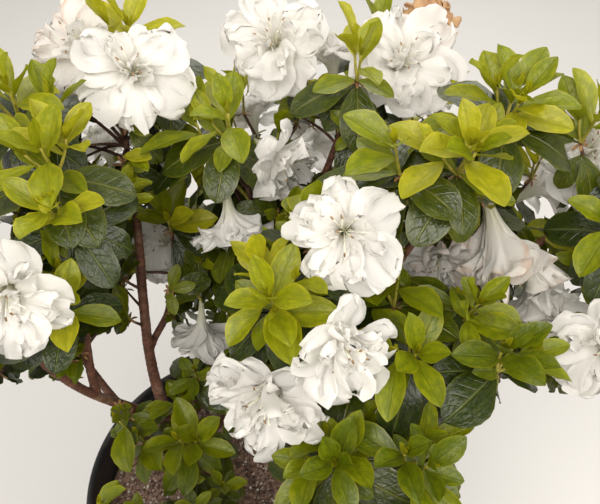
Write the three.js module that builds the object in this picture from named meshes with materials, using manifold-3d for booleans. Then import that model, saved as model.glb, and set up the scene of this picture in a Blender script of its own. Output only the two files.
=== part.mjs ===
// A double white azalea in its nursery pot: a short leaning trunk, curved boughs and twenty-two masses
// of leaf rosettes, young shoots and open blooms. Millimetres, +Z up, the origin at the middle of the
// pot's flat underside, and -Y towards the side that the plant is looked down on from.
import * as THREE from 'three';
import { mergeVertices } from 'three/addons/utils/BufferGeometryUtils.js';
import Module from 'manifold-3d';

const wasm = await Module();
wasm.setup();

// The pot: a plain tapered nursery container with a rolled lip.
const POT_HEIGHT = 240;
const POT_RIM_RADIUS = 140;
const POT_FOOT_RADIUS = 112;
const POT_WALL = 2.2;
const POT_FLOOR = 3;
const POT_SIDES = 32;
const LIP_DEPTH = 12;
const LIP_WIDTH = 5.5;
const DRAIN_HOLES = 6;
const DRAIN_WIDTH = 18;
const DRAIN_HEIGHT = 9;

// The potting mix that fills it, a little below the rim.
const MIX_BELOW_RIM = 35;
const MIX_TOP = POT_HEIGHT - MIX_BELOW_RIM;
const MIX_EDGE_DROP = 4;

// The clearance between pieces that touch on the real plant.
const SEAT_GAP = 0.3;

// The trunk leans to the left from its foot to the fork.
const TRUNK_FOOT = new THREE.Vector3(-24, 26, MIX_TOP + SEAT_GAP);
const TRUNK_FORK = new THREE.Vector3(-58, 33, 296);
const TRUNK_RADIUS = 10.5;
const FLARE_RADIUS = 16;
const FLARE_SHARE = 0.3;
const BOUGH_RADIUS = 5.6;
const BRANCH_RADIUS = 3.8;
const TIP_RADIUS = 3;
const STEM_LENGTH = 38;

// Foliage. A rosette is a ring of old leaves with young ones standing up out of it.
const STEM_RADIUS = 2.9;
const TWIG_RADIUS = 1.7;
const OLD_LEAVES = 5;
const OLD_LEAF = { length: 52, width: 26, thickness: 2, droop: 0.16 };
const YOUNG_LEAVES = 4;
const YOUNG_LEAF = { length: 44, width: 20, thickness: 1.8, droop: 0.08 };
const YOUNG_RISE = 20;
const OLD_SHARE = 0.48;
const YOUNG_SHARE = 0.94;
const OLD_LEAN = 1.5;
const YOUNG_LEAN = 0.7;
const ROSETTE_TRIES = 9;
const ROOT_ROOM = 4;
const STREAM_STEP = 7919;
const GOLDEN_ANGLE = THREE.MathUtils.degToRad(137.5);
const BLOOM_DIAMETER = 74;
const BLOOM_SIDES = 10;
// The turns, in shares of a sector, and the sizes that a leaf is tried at until it has room.
const LEAF_WAYS = [[0, 1], [0.3, 1], [-0.3, 1], [0.15, 0.8], [-0.15, 0.8]];
const SPACE_MARGIN = 0.8;
const LIMB_MARGIN = 1.2;
const LIMB_SAMPLES = 24;
const BLOOM_ROOM = 27;
const ROSETTE_ROOM = 30;
const CROWN_MIDDLE = new THREE.Vector3(45, 35, 395);
const UP = new THREE.Vector3(0, 0, 1);

// The masses of foliage: where each one's heart is, how far it reaches and how many rosettes its rule
// adds. Whorls and blooms that the photograph shows are placed from the heart, each with the way that
// it faces as azimuth and elevation in degrees. A bloom's place is that of its mouth.
const MASSES = [
  {
    name: 'low_shoots',
    heart: [-46, -4, 312],
    reach: 60,
    rosettes: 1,
    turn: 200,
    whorls: [
      { at: [-36, 6, 14], face: [170, 60] },
      { at: [22, -10, 12], face: [-60, 65] },
    ],
  },
  {
    name: 'left_shoulder',
    heart: [-122, -14, 486],
    reach: 82,
    rosettes: 2,
    turn: 205,
    whorls: [
      { at: [32, 17, 10], face: [-20, 60] },
      { at: [-42, 22, 30], face: [160, 55] },
    ],
    blooms: [{ at: [18, -14, 62], face: [-75, 22] }],
  },
  {
    name: 'left_crest',
    heart: [-98, 62, 528],
    reach: 84,
    rosettes: 2,
    turn: 150,
    whorls: [{ at: [9, -2, 46], face: [-90, 72] }],
  },
  {
    name: 'left_rear',
    heart: [-160, 88, 446],
    reach: 78,
    rosettes: 3,
    turn: 40,
    blooms: [{ at: [-34, 8, 34], face: [165, 30] }],
  },
  {
    name: 'rear_left_crest',
    heart: [-70, 142, 554],
    reach: 84,
    rosettes: 3,
    turn: 90,
    blooms: [
      { at: [-28, 32, 48], face: [-110, 45] },
      { at: [26, -26, 60], face: [-75, 40] },
    ],
  },
  {
    name: 'rear_left_low',
    heart: [-104, 204, 442],
    reach: 80,
    rosettes: 3,
    turn: 10,
    blooms: [{ at: [-22, 40, 22], face: [110, 30] }],
  },
  {
    name: 'inner_left',
    heart: [-46, 116, 416],
    reach: 74,
    rosettes: 1,
    turn: 140,
    whorls: [{ at: [2, 16, 32], face: [-90, 70] }],
    blooms: [
      { at: [-16, 26, 12], face: [-110, 55] },
      { at: [24, -44, -44], face: [-95, -60] },
    ],
  },
  {
    name: 'rear_middle',
    heart: [28, 124, 506],
    reach: 80,
    rosettes: 2,
    turn: 300,
    whorls: [{ at: [-13, -10, 56], face: [-90, 70] }],
    blooms: [
      { at: [30, -6, 26], face: [-40, -10] },
      { at: [-15, -32, -17], face: [-80, -50] },
    ],
  },
  {
    name: 'rear_crest',
    heart: [106, 178, 540],
    reach: 84,
    rosettes: 2,
    turn: 220,
    whorls: [{ at: [3, -34, 48], face: [-90, 72] }],
    blooms: [
      { at: [-60, 8, 60], face: [-100, 45] },
      { at: [42, 10, 42], face: [-80, 45] },
      { at: [-12, 58, 26], face: [100, 60] },
    ],
  },
  {
    name: 'rear_low',
    heart: [38, 236, 450],
    reach: 82,
    rosettes: 3,
    turn: 30,
    blooms: [
      { at: [-22, 44, 26], face: [105, 35] },
      { at: [44, 40, -8], face: [70, 10] },
    ],
  },
  {
    name: 'rear_right',
    heart: [168, 228, 462],
    reach: 82,
    rosettes: 3,
    turn: 70,
    blooms: [{ at: [6, 34, 42], face: [70, 45] }],
  },
  {
    name: 'right_rear',
    heart: [250, 160, 446],
    reach: 80,
    rosettes: 3,
    turn: 120,
    blooms: [{ at: [40, 16, 20], face: [20, 25] }],
  },
  {
    name: 'right_crest',
    heart: [160, 58, 540],
    reach: 86,
    rosettes: 3,
    turn: 150,
    whorls: [{ at: [6, -10, 44], face: [-90, 70] }],
  },
  {
    name: 'right_hanging',
    heart: [212, 66, 460],
    reach: 76,
    rosettes: 1,
    turn: 60,
    blooms: [
      { at: [0, -10, 44], face: [-70, -40] },
      { at: [44, -16, -12], face: [-75, -20] },
      { at: [-36, 1, 10], face: [-100, 5] },
    ],
  },
  {
    name: 'right_side',
    heart: [286, 88, 520],
    reach: 76,
    rosettes: 3,
    turn: 350,
    whorls: [{ at: [0, -42, 2], face: [-100, 60] }],
    blooms: [{ at: [-6, 22, 36], face: [-100, 45] }],
  },
  {
    name: 'right_end',
    heart: [286, -10, 456],
    reach: 74,
    rosettes: 3,
    turn: 20,
    blooms: [{ at: [-16, -10, 30], face: [-120, 30] }],
  },
  {
    name: 'centre',
    heart: [70, -10, 496],
    reach: 88,
    rosettes: 1,
    turn: 180,
    whorls: [{ at: [-18, 9, 6], face: [-130, 65] }],
    blooms: [
      { at: [23, 17, 76], face: [-96, 45] },
      { at: [23, -35, 27], face: [-80, 18] },
      { at: [-29, -37, -29], face: [-115, 18] },
    ],
  },
  {
    name: 'right_front',
    heart: [158, -4, 452],
    reach: 84,
    rosettes: 2,
    turn: 260,
    whorls: [
      { at: [-18, -12, 16], face: [-90, 60] },
      { at: [24, 18, 28], face: [-60, 65] },
    ],
  },
  {
    name: 'front_right',
    heart: [116, -72, 398],
    reach: 80,
    rosettes: 1,
    turn: 300,
    whorls: [
      { at: [-24, 10, 18], face: [-120, 55] },
      { at: [26, -2, 22], face: [-40, 60] },
    ],
  },
  {
    name: 'front',
    heart: [12, -158, 404],
    reach: 80,
    rosettes: 4,
    turn: 290,
    blooms: [
      { at: [-26, -30, 36], face: [-110, 30] },
      { at: [40, -38, 4], face: [-70, 15] },
    ],
  },
  {
    name: 'front_left',
    heart: [-106, -134, 394],
    reach: 80,
    rosettes: 4,
    turn: 240,
    blooms: [{ at: [-30, -20, 34], face: [-145, 35] }],
  },
  {
    name: 'front_right_low',
    heart: [158, -156, 396],
    reach: 80,
    rosettes: 4,
    turn: 310,
    blooms: [{ at: [32, -24, 30], face: [-40, 30] }],
  },
];

// The limbs. Each one leaves its parent at a share of the parent's length, in the direction given where
// the photograph shows it, and ends one stem's length short of the heart of the mass that it carries.
const LIMBS = [
  { name: 'left_bough', parent: 'trunk', share: 0.84, carries: 'left_shoulder', leave: [-0.8, 0.1, 0.6] },
  { name: 'middle_bough', parent: 'trunk', share: 1, carries: 'rear_left_crest', leave: [-0.2, 0.2, 1] },
  { name: 'centre_bough', parent: 'trunk', share: 0.93, carries: 'centre', leave: [0.35, 0.5, 0.7] },
  { name: 'rear_bough', parent: 'trunk', share: 0.72, carries: 'rear_crest', leave: [0.3, 0.9, 0.5] },
  { name: 'right_bough', parent: 'trunk', share: 0.55, carries: 'right_crest', leave: [0.75, 0.3, 0.6] },
  { name: 'front_bough', parent: 'trunk', share: 0.36, carries: 'front', leave: [0.05, -0.8, 0.6] },
  { name: 'low_branch', parent: 'trunk', share: 0.5, carries: 'low_shoots', leave: [-0.5, -0.8, 0.5] },
  { name: 'left_crest_branch', parent: 'left_bough', share: 0.6, carries: 'left_crest' },
  { name: 'left_rear_branch', parent: 'left_bough', share: 0.42, carries: 'left_rear' },
  { name: 'inner_left_branch', parent: 'middle_bough', share: 0.3, carries: 'inner_left' },
  { name: 'rear_left_branch', parent: 'middle_bough', share: 0.45, carries: 'rear_left_low' },
  { name: 'rear_middle_branch', parent: 'centre_bough', share: 0.5, carries: 'rear_middle' },
  { name: 'rear_low_branch', parent: 'rear_bough', share: 0.5, carries: 'rear_low' },
  { name: 'rear_right_branch', parent: 'rear_bough', share: 0.66, carries: 'rear_right' },
  { name: 'front_right_branch', parent: 'right_bough', share: 0.35, carries: 'front_right' },
  { name: 'right_front_branch', parent: 'right_bough', share: 0.52, carries: 'right_front' },
  { name: 'right_hanging_branch', parent: 'right_bough', share: 0.74, carries: 'right_hanging' },
  { name: 'right_rear_branch', parent: 'right_bough', share: 0.6, carries: 'right_rear' },
  { name: 'right_side_branch', parent: 'right_rear_branch', share: 0.5, carries: 'right_side' },
  { name: 'right_end_branch', parent: 'right_hanging_branch', share: 0.6, carries: 'right_end' },
  { name: 'front_left_branch', parent: 'front_bough', share: 0.4, carries: 'front_left' },
  { name: 'front_low_branch', parent: 'front_bough', share: 0.55, carries: 'front_right_low' },
];

// A repeatable stream of numbers from 0 to 1 (the Park-Miller generator).
function numberStream(seed) {
  let state = seed;
  return () => {
    state = (state * 16807) % 2147483647;
    return state / 2147483647;
  };
}

function vector(values) {
  return new THREE.Vector3(...values);
}

// The unit vector at an azimuth from +X and an elevation above level, in degrees.
function facing([azimuth, elevation]) {
  const a = THREE.MathUtils.degToRad(azimuth);
  const e = THREE.MathUtils.degToRad(elevation);
  return new THREE.Vector3(Math.cos(a) * Math.cos(e), Math.sin(a) * Math.cos(e), Math.sin(e));
}

// Two unit vectors square to an axis, always chosen the same way.
function acrossAxis(axis) {
  const helper = Math.abs(axis.z) < 0.9 ? UP : new THREE.Vector3(1, 0, 0);
  const side = new THREE.Vector3().crossVectors(helper, axis).normalize();
  const other = new THREE.Vector3().crossVectors(axis, side);
  return [side, other];
}

// The direction that leans from an axis by one angle, turned round the axis by another.
function leaning(axis, angle, turn) {
  const [side, other] = acrossAxis(axis);
  return axis
    .clone()
    .multiplyScalar(Math.cos(angle))
    .addScaledVector(side, Math.sin(angle) * Math.cos(turn))
    .addScaledVector(other, Math.sin(angle) * Math.sin(turn));
}

// A closed solid from a geometry.
function solidFrom(geometry) {
  const bare = geometry.clone();
  bare.deleteAttribute('normal');
  bare.deleteAttribute('uv');
  const merged = mergeVertices(bare, 1e-4);
  return new wasm.Manifold(
    new wasm.Mesh({
      numProp: 3,
      vertProperties: new Float32Array(merged.attributes.position.array),
      triVerts: new Uint32Array(merged.index.array),
    }),
  );
}

function geometryFromPoints(points, faces) {
  return new THREE.BufferGeometry()
    .setAttribute('position', new THREE.Float32BufferAttribute(points.flatMap((p) => p.toArray()), 3))
    .setIndex(faces.flat());
}

function geometryFromSolid(solid) {
  const mesh = solid.getMesh();
  const geometry = new THREE.BufferGeometry()
    .setAttribute('position', new THREE.BufferAttribute(new Float32Array(mesh.vertProperties), 3))
    .setIndex(new THREE.BufferAttribute(new Uint32Array(mesh.triVerts), 1));
  const flat = geometry.toNonIndexed();
  flat.computeVertexNormals();
  return flat;
}

// The largest body of a solid, with its sealed hollows filled and loose scraps dropped.
function mainBody(solid) {
  return solid.decompose().reduce((best, part) => (part.volume() > best.volume() ? part : best));
}

// Places along a curve, each with two unit vectors square to it that don't twist from one to the next.
function framesAlong(curve, steps) {
  const frames = [];
  for (let i = 0; i <= steps; i += 1) {
    const along = curve.getTangent(i / steps);
    let [side] = acrossAxis(along);
    if (i > 0) {
      side = frames[i - 1].side.clone().projectOnPlane(along).normalize();
    }
    const other = new THREE.Vector3().crossVectors(along, side);
    frames.push({ share: i / steps, middle: curve.getPoint(i / steps), along, side, other });
  }
  return frames;
}

// A ring of points round a middle; the radius and the rise may change from point to point.
function ringOf(frame, count, radiusOf, riseOf = () => 0) {
  return Array.from({ length: count }, (_, k) => {
    const turn = (2 * Math.PI * k) / count;
    return frame.middle
      .clone()
      .addScaledVector(frame.along, riseOf(k))
      .addScaledVector(frame.side, radiusOf(k) * Math.cos(turn))
      .addScaledVector(frame.other, radiusOf(k) * Math.sin(turn));
  });
}

// A closed solid through rings of points in order. Each ring may have its own number of points, and a
// last ring of one point closes it; the first one is closed flat.
function loft(rings) {
  const points = rings.flat();
  const faces = [];
  let low = 0;
  for (let band = 0; band < rings.length - 1; band += 1) {
    const n = rings[band].length;
    const m = rings[band + 1].length;
    const high = low + n;
    let i = 0;
    let j = 0;
    while (i < n || j < m) {
      const stepLow = j === m || (i < n && (i + 1) / n < (j + 1) / m);
      if (stepLow) {
        faces.push([low + i, low + ((i + 1) % n), high + (j % m)]);
        i += 1;
      } else {
        faces.push([low + (i % n), high + ((j + 1) % m), high + j]);
        j += 1;
      }
    }
    low = high;
  }
  for (let k = 1; k < rings[0].length - 1; k += 1) {
    faces.push([0, k + 1, k]);
  }
  const last = rings[rings.length - 1].length;
  for (let k = 1; k < last - 1; k += 1) {
    faces.push([low, low + k, low + k + 1]);
  }
  const real = faces.filter(([p, q, r]) => p !== q && q !== r && r !== p);
  return solidFrom(geometryFromPoints(points, real));
}

// A closed tapering tube along a curve, with its ends square to the curve. It may run on past them.
function taperedTube(curve, radiusAt, sides, steps, overrun = 0) {
  const frames = framesAlong(curve, steps);
  frames[0].middle.addScaledVector(frames[0].along, -overrun);
  frames[steps].middle.addScaledVector(frames[steps].along, overrun);
  return loft(frames.map((frame) => ringOf(frame, sides, () => radiusAt(frame.share))));
}

// A curve that leaves one point in a direction and arrives at another in a second direction.
function bowedCurve(start, leave, end, arrive, pull = 0.38) {
  const reach = start.distanceTo(end) * pull;
  return new THREE.CubicBezierCurve3(
    start,
    start.clone().addScaledVector(leave, reach),
    end.clone().addScaledVector(arrive, -reach),
    end,
  );
}

// The pot: a lathe turned shell with drain slots cut through the corner of its floor.
function makePot() {
  const lipUnder = POT_HEIGHT - LIP_DEPTH;
  const wallTop = POT_RIM_RADIUS - LIP_WIDTH;
  const inside = wallTop - POT_WALL + 0.6;
  const profile = [
    [0, 0],
    [POT_FOOT_RADIUS - 3, 0],
    [POT_FOOT_RADIUS, 3],
    [wallTop - 3.2, lipUnder - 26],
    [wallTop - 0.6, lipUnder - 24],
    [wallTop, lipUnder],
    [POT_RIM_RADIUS, lipUnder + 1],
    [POT_RIM_RADIUS - 1.2, POT_HEIGHT],
    [inside, POT_HEIGHT],
    [POT_FOOT_RADIUS - POT_WALL, POT_FLOOR],
    [0, POT_FLOOR],
  ].map(([r, z]) => new THREE.Vector2(r, z));
  let pot = solidFrom(new THREE.LatheGeometry(profile, POT_SIDES).rotateX(Math.PI / 2));
  for (let i = 0; i < DRAIN_HOLES; i += 1) {
    const slot = new THREE.BoxGeometry(DRAIN_HEIGHT * 2, DRAIN_WIDTH, DRAIN_HEIGHT * 2);
    slot.translate(POT_FOOT_RADIUS, 0, 0);
    slot.rotateZ((2 * Math.PI * (i + 0.5)) / DRAIN_HOLES);
    pot = pot.subtract(solidFrom(slot));
  }
  return pot;
}

// The pot's inner radius at a height, between its floor and its lip.
function potInnerRadius(z) {
  const top = POT_RIM_RADIUS - LIP_WIDTH - POT_WALL + 0.6;
  const foot = POT_FOOT_RADIUS - POT_WALL;
  return foot + ((top - foot) * (z - POT_FLOOR)) / (POT_HEIGHT - POT_FLOOR);
}

// The potting mix, shrunk a little from the wall and lower at its edge. It is level under the trunk.
function makePottingMix() {
  const foot = POT_FLOOR + SEAT_GAP;
  const shrunk = (z) => potInnerRadius(z) / Math.cos(Math.PI / POT_SIDES) - SEAT_GAP - 1.2;
  const profile = [
    [0, foot],
    [shrunk(foot) * Math.cos(Math.PI / POT_SIDES), foot],
    [shrunk(MIX_TOP - MIX_EDGE_DROP) * Math.cos(Math.PI / POT_SIDES), MIX_TOP - MIX_EDGE_DROP],
    [POT_FOOT_RADIUS * 0.86, MIX_TOP],
    [0, MIX_TOP],
  ].map(([r, z]) => new THREE.Vector2(r, z));
  return solidFrom(new THREE.LatheGeometry(profile, POT_SIDES).rotateX(Math.PI / 2));
}

// Every limb's curve and radius, by name.
function layOutLimbs() {
  const limbs = new Map();
  const hearts = new Map(MASSES.map((mass) => [mass.name, vector(mass.heart)]));
  const trunkCurve = bowedCurve(
    TRUNK_FOOT,
    UP,
    TRUNK_FORK,
    vector([-0.45, 0.1, 0.9]).normalize(),
  );
  limbs.set('trunk', {
    name: 'trunk',
    curve: trunkCurve,
    radiusAt: (share) =>
      TRUNK_RADIUS * (1 - 0.26 * share) +
      (FLARE_RADIUS - TRUNK_RADIUS) * Math.max(0, 1 - share / FLARE_SHARE) ** 2,
    sides: 10,
    steps: 6,
  });
  for (const { name, parent, share, carries, leave } of LIMBS) {
    const stock = limbs.get(parent);
    const start = stock.curve.getPoint(share);
    const heart = hearts.get(carries);
    const towards = heart.clone().sub(start).normalize();
    const along = stock.curve.getTangent(share);
    const away = leave ? vector(leave).normalize() : along.multiplyScalar(0.5).add(towards).normalize();
    const arrive = towards.clone().addScaledVector(UP, 0.55).normalize();
    const tip = heart.clone().addScaledVector(arrive, -STEM_LENGTH);
    const thick = parent === 'trunk' ? BOUGH_RADIUS : BRANCH_RADIUS;
    limbs.set(name, {
      name,
      parent,
      carries,
      arrive,
      curve: bowedCurve(start, away, tip, arrive),
      radiusAt: (s) => thick + (TIP_RADIUS - thick) * s,
      sides: parent === 'trunk' ? 6 : 5,
      steps: parent === 'trunk' ? 7 : 4,
    });
  }
  return limbs;
}

// Each limb's solid: its tube, trimmed clear of every limb laid before it that it meets. The guard is
// all of the limbs together, a seat's gap fatter.
function makeLimbs(limbs) {
  const solids = new Map();
  const fattened = [];
  for (const { name, curve, radiusAt, sides, steps } of limbs.values()) {
    let solid = taperedTube(curve, radiusAt, sides, steps);
    for (const earlier of fattened) {
      if (!solid.intersect(earlier).isEmpty()) {
        solid = solid.subtract(earlier);
      }
    }
    solids.set(name, mainBody(solid));
    const gap = SEAT_GAP + 0.05;
    fattened.push(taperedTube(curve, (share) => radiusAt(share) + gap, sides, steps, gap));
  }
  return { solids, guard: wasm.Manifold.union(fattened) };
}

// The space that a mass may fill: nearer to its own heart, whorls and blooms than to any other mass's,
// clear of every limb, and above the pot and the mix.
function makeSpaces(limbs) {
  const sites = MASSES.flatMap((mass) => {
    const heart = vector(mass.heart);
    const shown = [...(mass.blooms ?? []), ...(mass.whorls ?? [])];
    const places = [heart, ...shown.map(({ at }) => heart.clone().add(vector(at)))];
    return places.map((place) => ({ name: mass.name, place }));
  });
  const samples = [...limbs.values()].flatMap(({ curve, radiusAt }) =>
    Array.from({ length: LIMB_SAMPLES + 1 }, (_, i) => ({
      place: curve.getPoint(i / LIMB_SAMPLES),
      radius: radiusAt(i / LIMB_SAMPLES),
    })),
  );
  const nearest = (point, chosen) =>
    Math.min(...sites.filter(chosen).map(({ place }) => place.distanceTo(point)));
  const holds = (point, name) => {
    const own = nearest(point, (site) => site.name === name);
    const others = nearest(point, (site) => site.name !== name);
    return others - own > 2 * SPACE_MARGIN;
  };
  const clears = (point, margin) => {
    const fromAxis = Math.hypot(point.x, point.y);
    const overMix = fromAxis < POT_RIM_RADIUS - 18 && point.z > MIX_TOP + margin;
    const offPot = overMix || point.z > POT_HEIGHT + margin || fromAxis > POT_RIM_RADIUS + 4;
    const room = margin + LIMB_MARGIN;
    return offPot && samples.every(({ place, radius }) => place.distanceTo(point) > radius + room);
  };
  return (points, name, margin) =>
    points.every((point) => holds(point, name) && clears(point, margin));
}

// A leaf of eight faces, sunk into its twig at the root: a blunt oval, bent down past its widest part.
function makeLeaf(root, along, up, leaf) {
  const side = new THREE.Vector3().crossVectors(along, up).normalize();
  const face = new THREE.Vector3().crossVectors(side, along).normalize();
  const { length, width, thickness, droop } = leaf;
  const at = (forward, sideways, rise) =>
    root
      .clone()
      .addScaledVector(along, forward * length)
      .addScaledVector(side, sideways * width)
      .addScaledVector(face, rise);
  const points = [
    at(0, 0, 0),
    at(0.5, 0.5, 0),
    at(0.96, 0.17, -droop * length),
    at(0.96, -0.17, -droop * length),
    at(0.5, -0.5, 0),
    at(0.5, 0, thickness),
  ];
  const faces = [
    [0, 4, 1],
    [1, 4, 3],
    [1, 3, 2],
  ];
  for (let k = 0; k < 5; k += 1) {
    faces.push([k, (k + 1) % 5, 5]);
  }
  return { points, solid: solidFrom(geometryFromPoints(points, faces)) };
}

// A double bloom on its stalk: a funnel that opens to a lobed rim and is filled by a raised ruffle.
function makeBloom(root, leave, mouth, axis, random) {
  const size = BLOOM_DIAMETER;
  const foot = mouth.clone().addScaledVector(axis, -0.52 * size);
  const stalk = framesAlong(bowedCurve(root, leave, foot, axis, 0.3), 2);
  const { side } = stalk[2];
  const frame = { middle: mouth, along: axis, side, other: new THREE.Vector3().crossVectors(axis, side) };
  const half = BLOOM_SIDES / 2;
  const rings = [
    ...stalk.map((place) => ringOf(place, 3, () => TWIG_RADIUS)),
    ringOf(frame, half, () => 0.1 * size, () => -0.3 * size),
    ringOf(
      frame,
      BLOOM_SIDES,
      (k) => (k % 2 ? 0.4 : 0.5) * size,
      () => (0.1 * random() - 0.07) * size,
    ),
    ringOf(frame, half, () => 0.31 * size, () => -0.13 * size),
    ringOf(frame, half, () => 0.2 * size, () => (0.08 * random() - 0.01) * size),
    ringOf(frame, 1, () => 0, () => -0.1 * size),
  ];
  return { points: rings.slice(2).flat(), solid: loft(rings) };
}

// Where one mass's stem runs, and where its blooms and the twigs of its rosettes stand on it.
function layOutMass(mass, number, limb, fits) {
  const random = numberStream(STREAM_STEP * (number + 1));
  const heart = vector(mass.heart);
  const place = (values) => heart.clone().add(vector(values));
  const out = heart.clone().sub(CROWN_MIDDLE).normalize().addScaledVector(UP, 0.75).normalize();
  const end = limb.curve.getTangent(1);
  const stem = bowedCurve(limb.curve.getPoint(1).addScaledVector(end, SEAT_GAP), end, heart, out);
  const shown = mass.whorls ?? [];
  const open = mass.blooms ?? [];
  const shoots = open.length + shown.length + mass.rosettes;
  const rootOf = (shoot) => stem.getPoint(0.25 + (0.7 * (shoot + 1)) / shoots);

  const blooms = open.map(({ at, face }, k) => ({
    root: rootOf(k),
    mouth: place(at),
    axis: facing(face),
  }));
  const rosettes = [];
  const tryRosette = (root, crown, axis, turn) => {
    const top = crown.clone().addScaledVector(axis, YOUNG_RISE);
    const leave = top.clone().sub(root).normalize().addScaledVector(out, 0.4).normalize();
    const twig = bowedCurve(root, leave, top, axis);
    const route = [0.3, 0.5, 0.7, 0.85, 1].map((share) => twig.getPoint(share));
    const offBlooms = blooms.every((bloom) => {
      const middle = bloom.mouth.clone().addScaledVector(bloom.axis, -0.15 * BLOOM_DIAMETER);
      return route.every((point) => point.distanceTo(middle) > BLOOM_ROOM);
    });
    const offRosettes = rosettes.every((other) => other.top.distanceTo(top) > ROSETTE_ROOM);
    if (!offBlooms || !offRosettes || !fits(route, mass.name, TWIG_RADIUS)) {
      return false;
    }
    rosettes.push({ twig, top, axis, turn });
    return true;
  };

  shown.forEach(({ at, face }, k) => {
    if (!tryRosette(rootOf(open.length + k), place(at), facing(face), k)) {
      throw new Error(`a whorl of ${mass.name} has no room`);
    }
  });
  for (let k = 0; k < mass.rosettes; k += 1) {
    const root = rootOf(open.length + shown.length + k);
    const spread = Math.acos(1 - (1.15 * (k + 0.5)) / mass.rosettes);
    const turn = THREE.MathUtils.degToRad(mass.turn) + k * GOLDEN_ANGLE;
    for (let attempt = 0; attempt < ROSETTE_TRIES; attempt += 1) {
      const away = leaning(out, spread + 0.25 * (random() - 0.5), turn + attempt * 0.7);
      const crown = heart.clone().addScaledVector(away, mass.reach * (0.62 - 0.04 * attempt));
      const axis = away.clone().multiplyScalar(0.5).addScaledVector(UP, 0.8).normalize();
      if (tryRosette(root, crown, axis, turn)) {
        break;
      }
    }
  }
  return { name: mass.name, number, stem, out, blooms, rosettes };
}

// One mass grown as a single body: stem, blooms and twigs first, then each leaf that has room.
function growMass({ name, number, stem, out, blooms, rosettes }, fits, guard) {
  const random = numberStream(STREAM_STEP * (number + 1) + 1);
  let plant = taperedTube(stem, (share) => STEM_RADIUS - 0.5 * share, 4, 2);
  for (const { root, mouth, axis } of blooms) {
    const bloom = makeBloom(root, out, mouth, axis, random);
    if (!fits(bloom.points, name, 0) || !guard.intersect(bloom.solid).isEmpty()) {
      throw new Error(`a bloom of ${name} has no room`);
    }
    plant = plant.add(bloom.solid);
  }
  for (const { twig } of rosettes) {
    const solid = taperedTube(twig, (share) => TWIG_RADIUS * (1.1 - 0.2 * share), 3, 2);
    if (!guard.intersect(solid).isEmpty()) {
      throw new Error(`a twig of ${name} meets a limb`);
    }
    plant = plant.add(solid);
  }
  const addLeaf = (root, axis, leaf, lean, turn) => {
    const along = leaning(axis, lean, turn);
    const made = makeLeaf(root, along, axis, leaf);
    const clearOfRoot = makeLeaf(root.clone().addScaledVector(along, ROOT_ROOM), along, axis, {
      ...leaf,
      thickness: leaf.thickness + 1,
    });
    const free =
      fits(made.points.slice(1), name, 0.5) &&
      plant.intersect(clearOfRoot.solid).isEmpty() &&
      guard.intersect(made.solid).isEmpty();
    if (free) {
      plant = plant.add(made.solid);
    }
    return free;
  };
  const addRing = (root, axis, leaf, count, lean, start) => {
    for (let i = 0; i < count; i += 1) {
      LEAF_WAYS.some(([nudge, size]) => {
        const turn = start + ((i + nudge) * 2 * Math.PI) / count + 0.3 * (random() - 0.5);
        const sized = { ...leaf, length: leaf.length * size, width: leaf.width * size };
        return addLeaf(root, axis, sized, lean + 0.3 * (random() - 0.5), turn);
      });
    }
  };
  for (const { twig, top, axis, turn } of rosettes) {
    const bend = twig.getPoint(0.5);
    const young = bend.clone().lerp(top, YOUNG_SHARE);
    const old = bend.clone().lerp(top, OLD_SHARE);
    addRing(young, axis, YOUNG_LEAF, YOUNG_LEAVES, YOUNG_LEAN, turn + 0.8);
    addRing(old, axis, OLD_LEAF, OLD_LEAVES, OLD_LEAN, turn);
  }
  return mainBody(plant.simplify(0.02));
}

// Colours and finishes.
const LOOKS = {
  pot: new THREE.MeshStandardMaterial({ color: 0x26272a, roughness: 0.55, metalness: 0 }),
  mix: new THREE.MeshStandardMaterial({ color: 0x5d4636, roughness: 1, metalness: 0 }),
  bark: new THREE.MeshStandardMaterial({ color: 0x6f4634, roughness: 0.85, metalness: 0 }),
  foliage: new THREE.MeshStandardMaterial({ color: 0x7d9a2c, roughness: 0.5, metalness: 0 }),
};

function addPiece(group, name, solid, look) {
  const mesh = new THREE.Mesh(geometryFromSolid(solid), look);
  mesh.name = name;
  group.add(mesh);
}

const shrub = new THREE.Group();
const limbs = layOutLimbs();
const fits = makeSpaces(limbs);
addPiece(shrub, 'pot', makePot(), LOOKS.pot);
addPiece(shrub, 'potting_mix', makePottingMix(), LOOKS.mix);
const { solids, guard } = makeLimbs(limbs);
solids.forEach((solid, name) => addPiece(shrub, name, solid, LOOKS.bark));
MASSES.forEach((mass, number) => {
  const limb = [...limbs.values()].find((candidate) => candidate.carries === mass.name);
  const layout = layOutMass(mass, number, limb, fits);
  addPiece(shrub, `${mass.name}_foliage`, growMass(layout, fits, guard), LOOKS.foliage);
});

export default shrub;
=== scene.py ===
# %% [markdown]
# # A double white azalea in its nursery pot
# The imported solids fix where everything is. This lesson dresses them: a thin plastic pot, gritty potting
# mix, one skin of bark over the trunk and boughs, and then twigs, leaves and ruffled blooms that grow on
# from the boughs by the same seeded rule as the solids. The growth is worked out in millimetres and each
# mesh is made in metres. We start by loading the solids and keeping the size of their box.

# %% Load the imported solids
import itertools
import math

import bmesh
import bpy
import numpy as np
from mathutils import Matrix, Vector, noise
from mathutils.bvhtree import BVHTree
from mathutils.kdtree import KDTree


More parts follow.
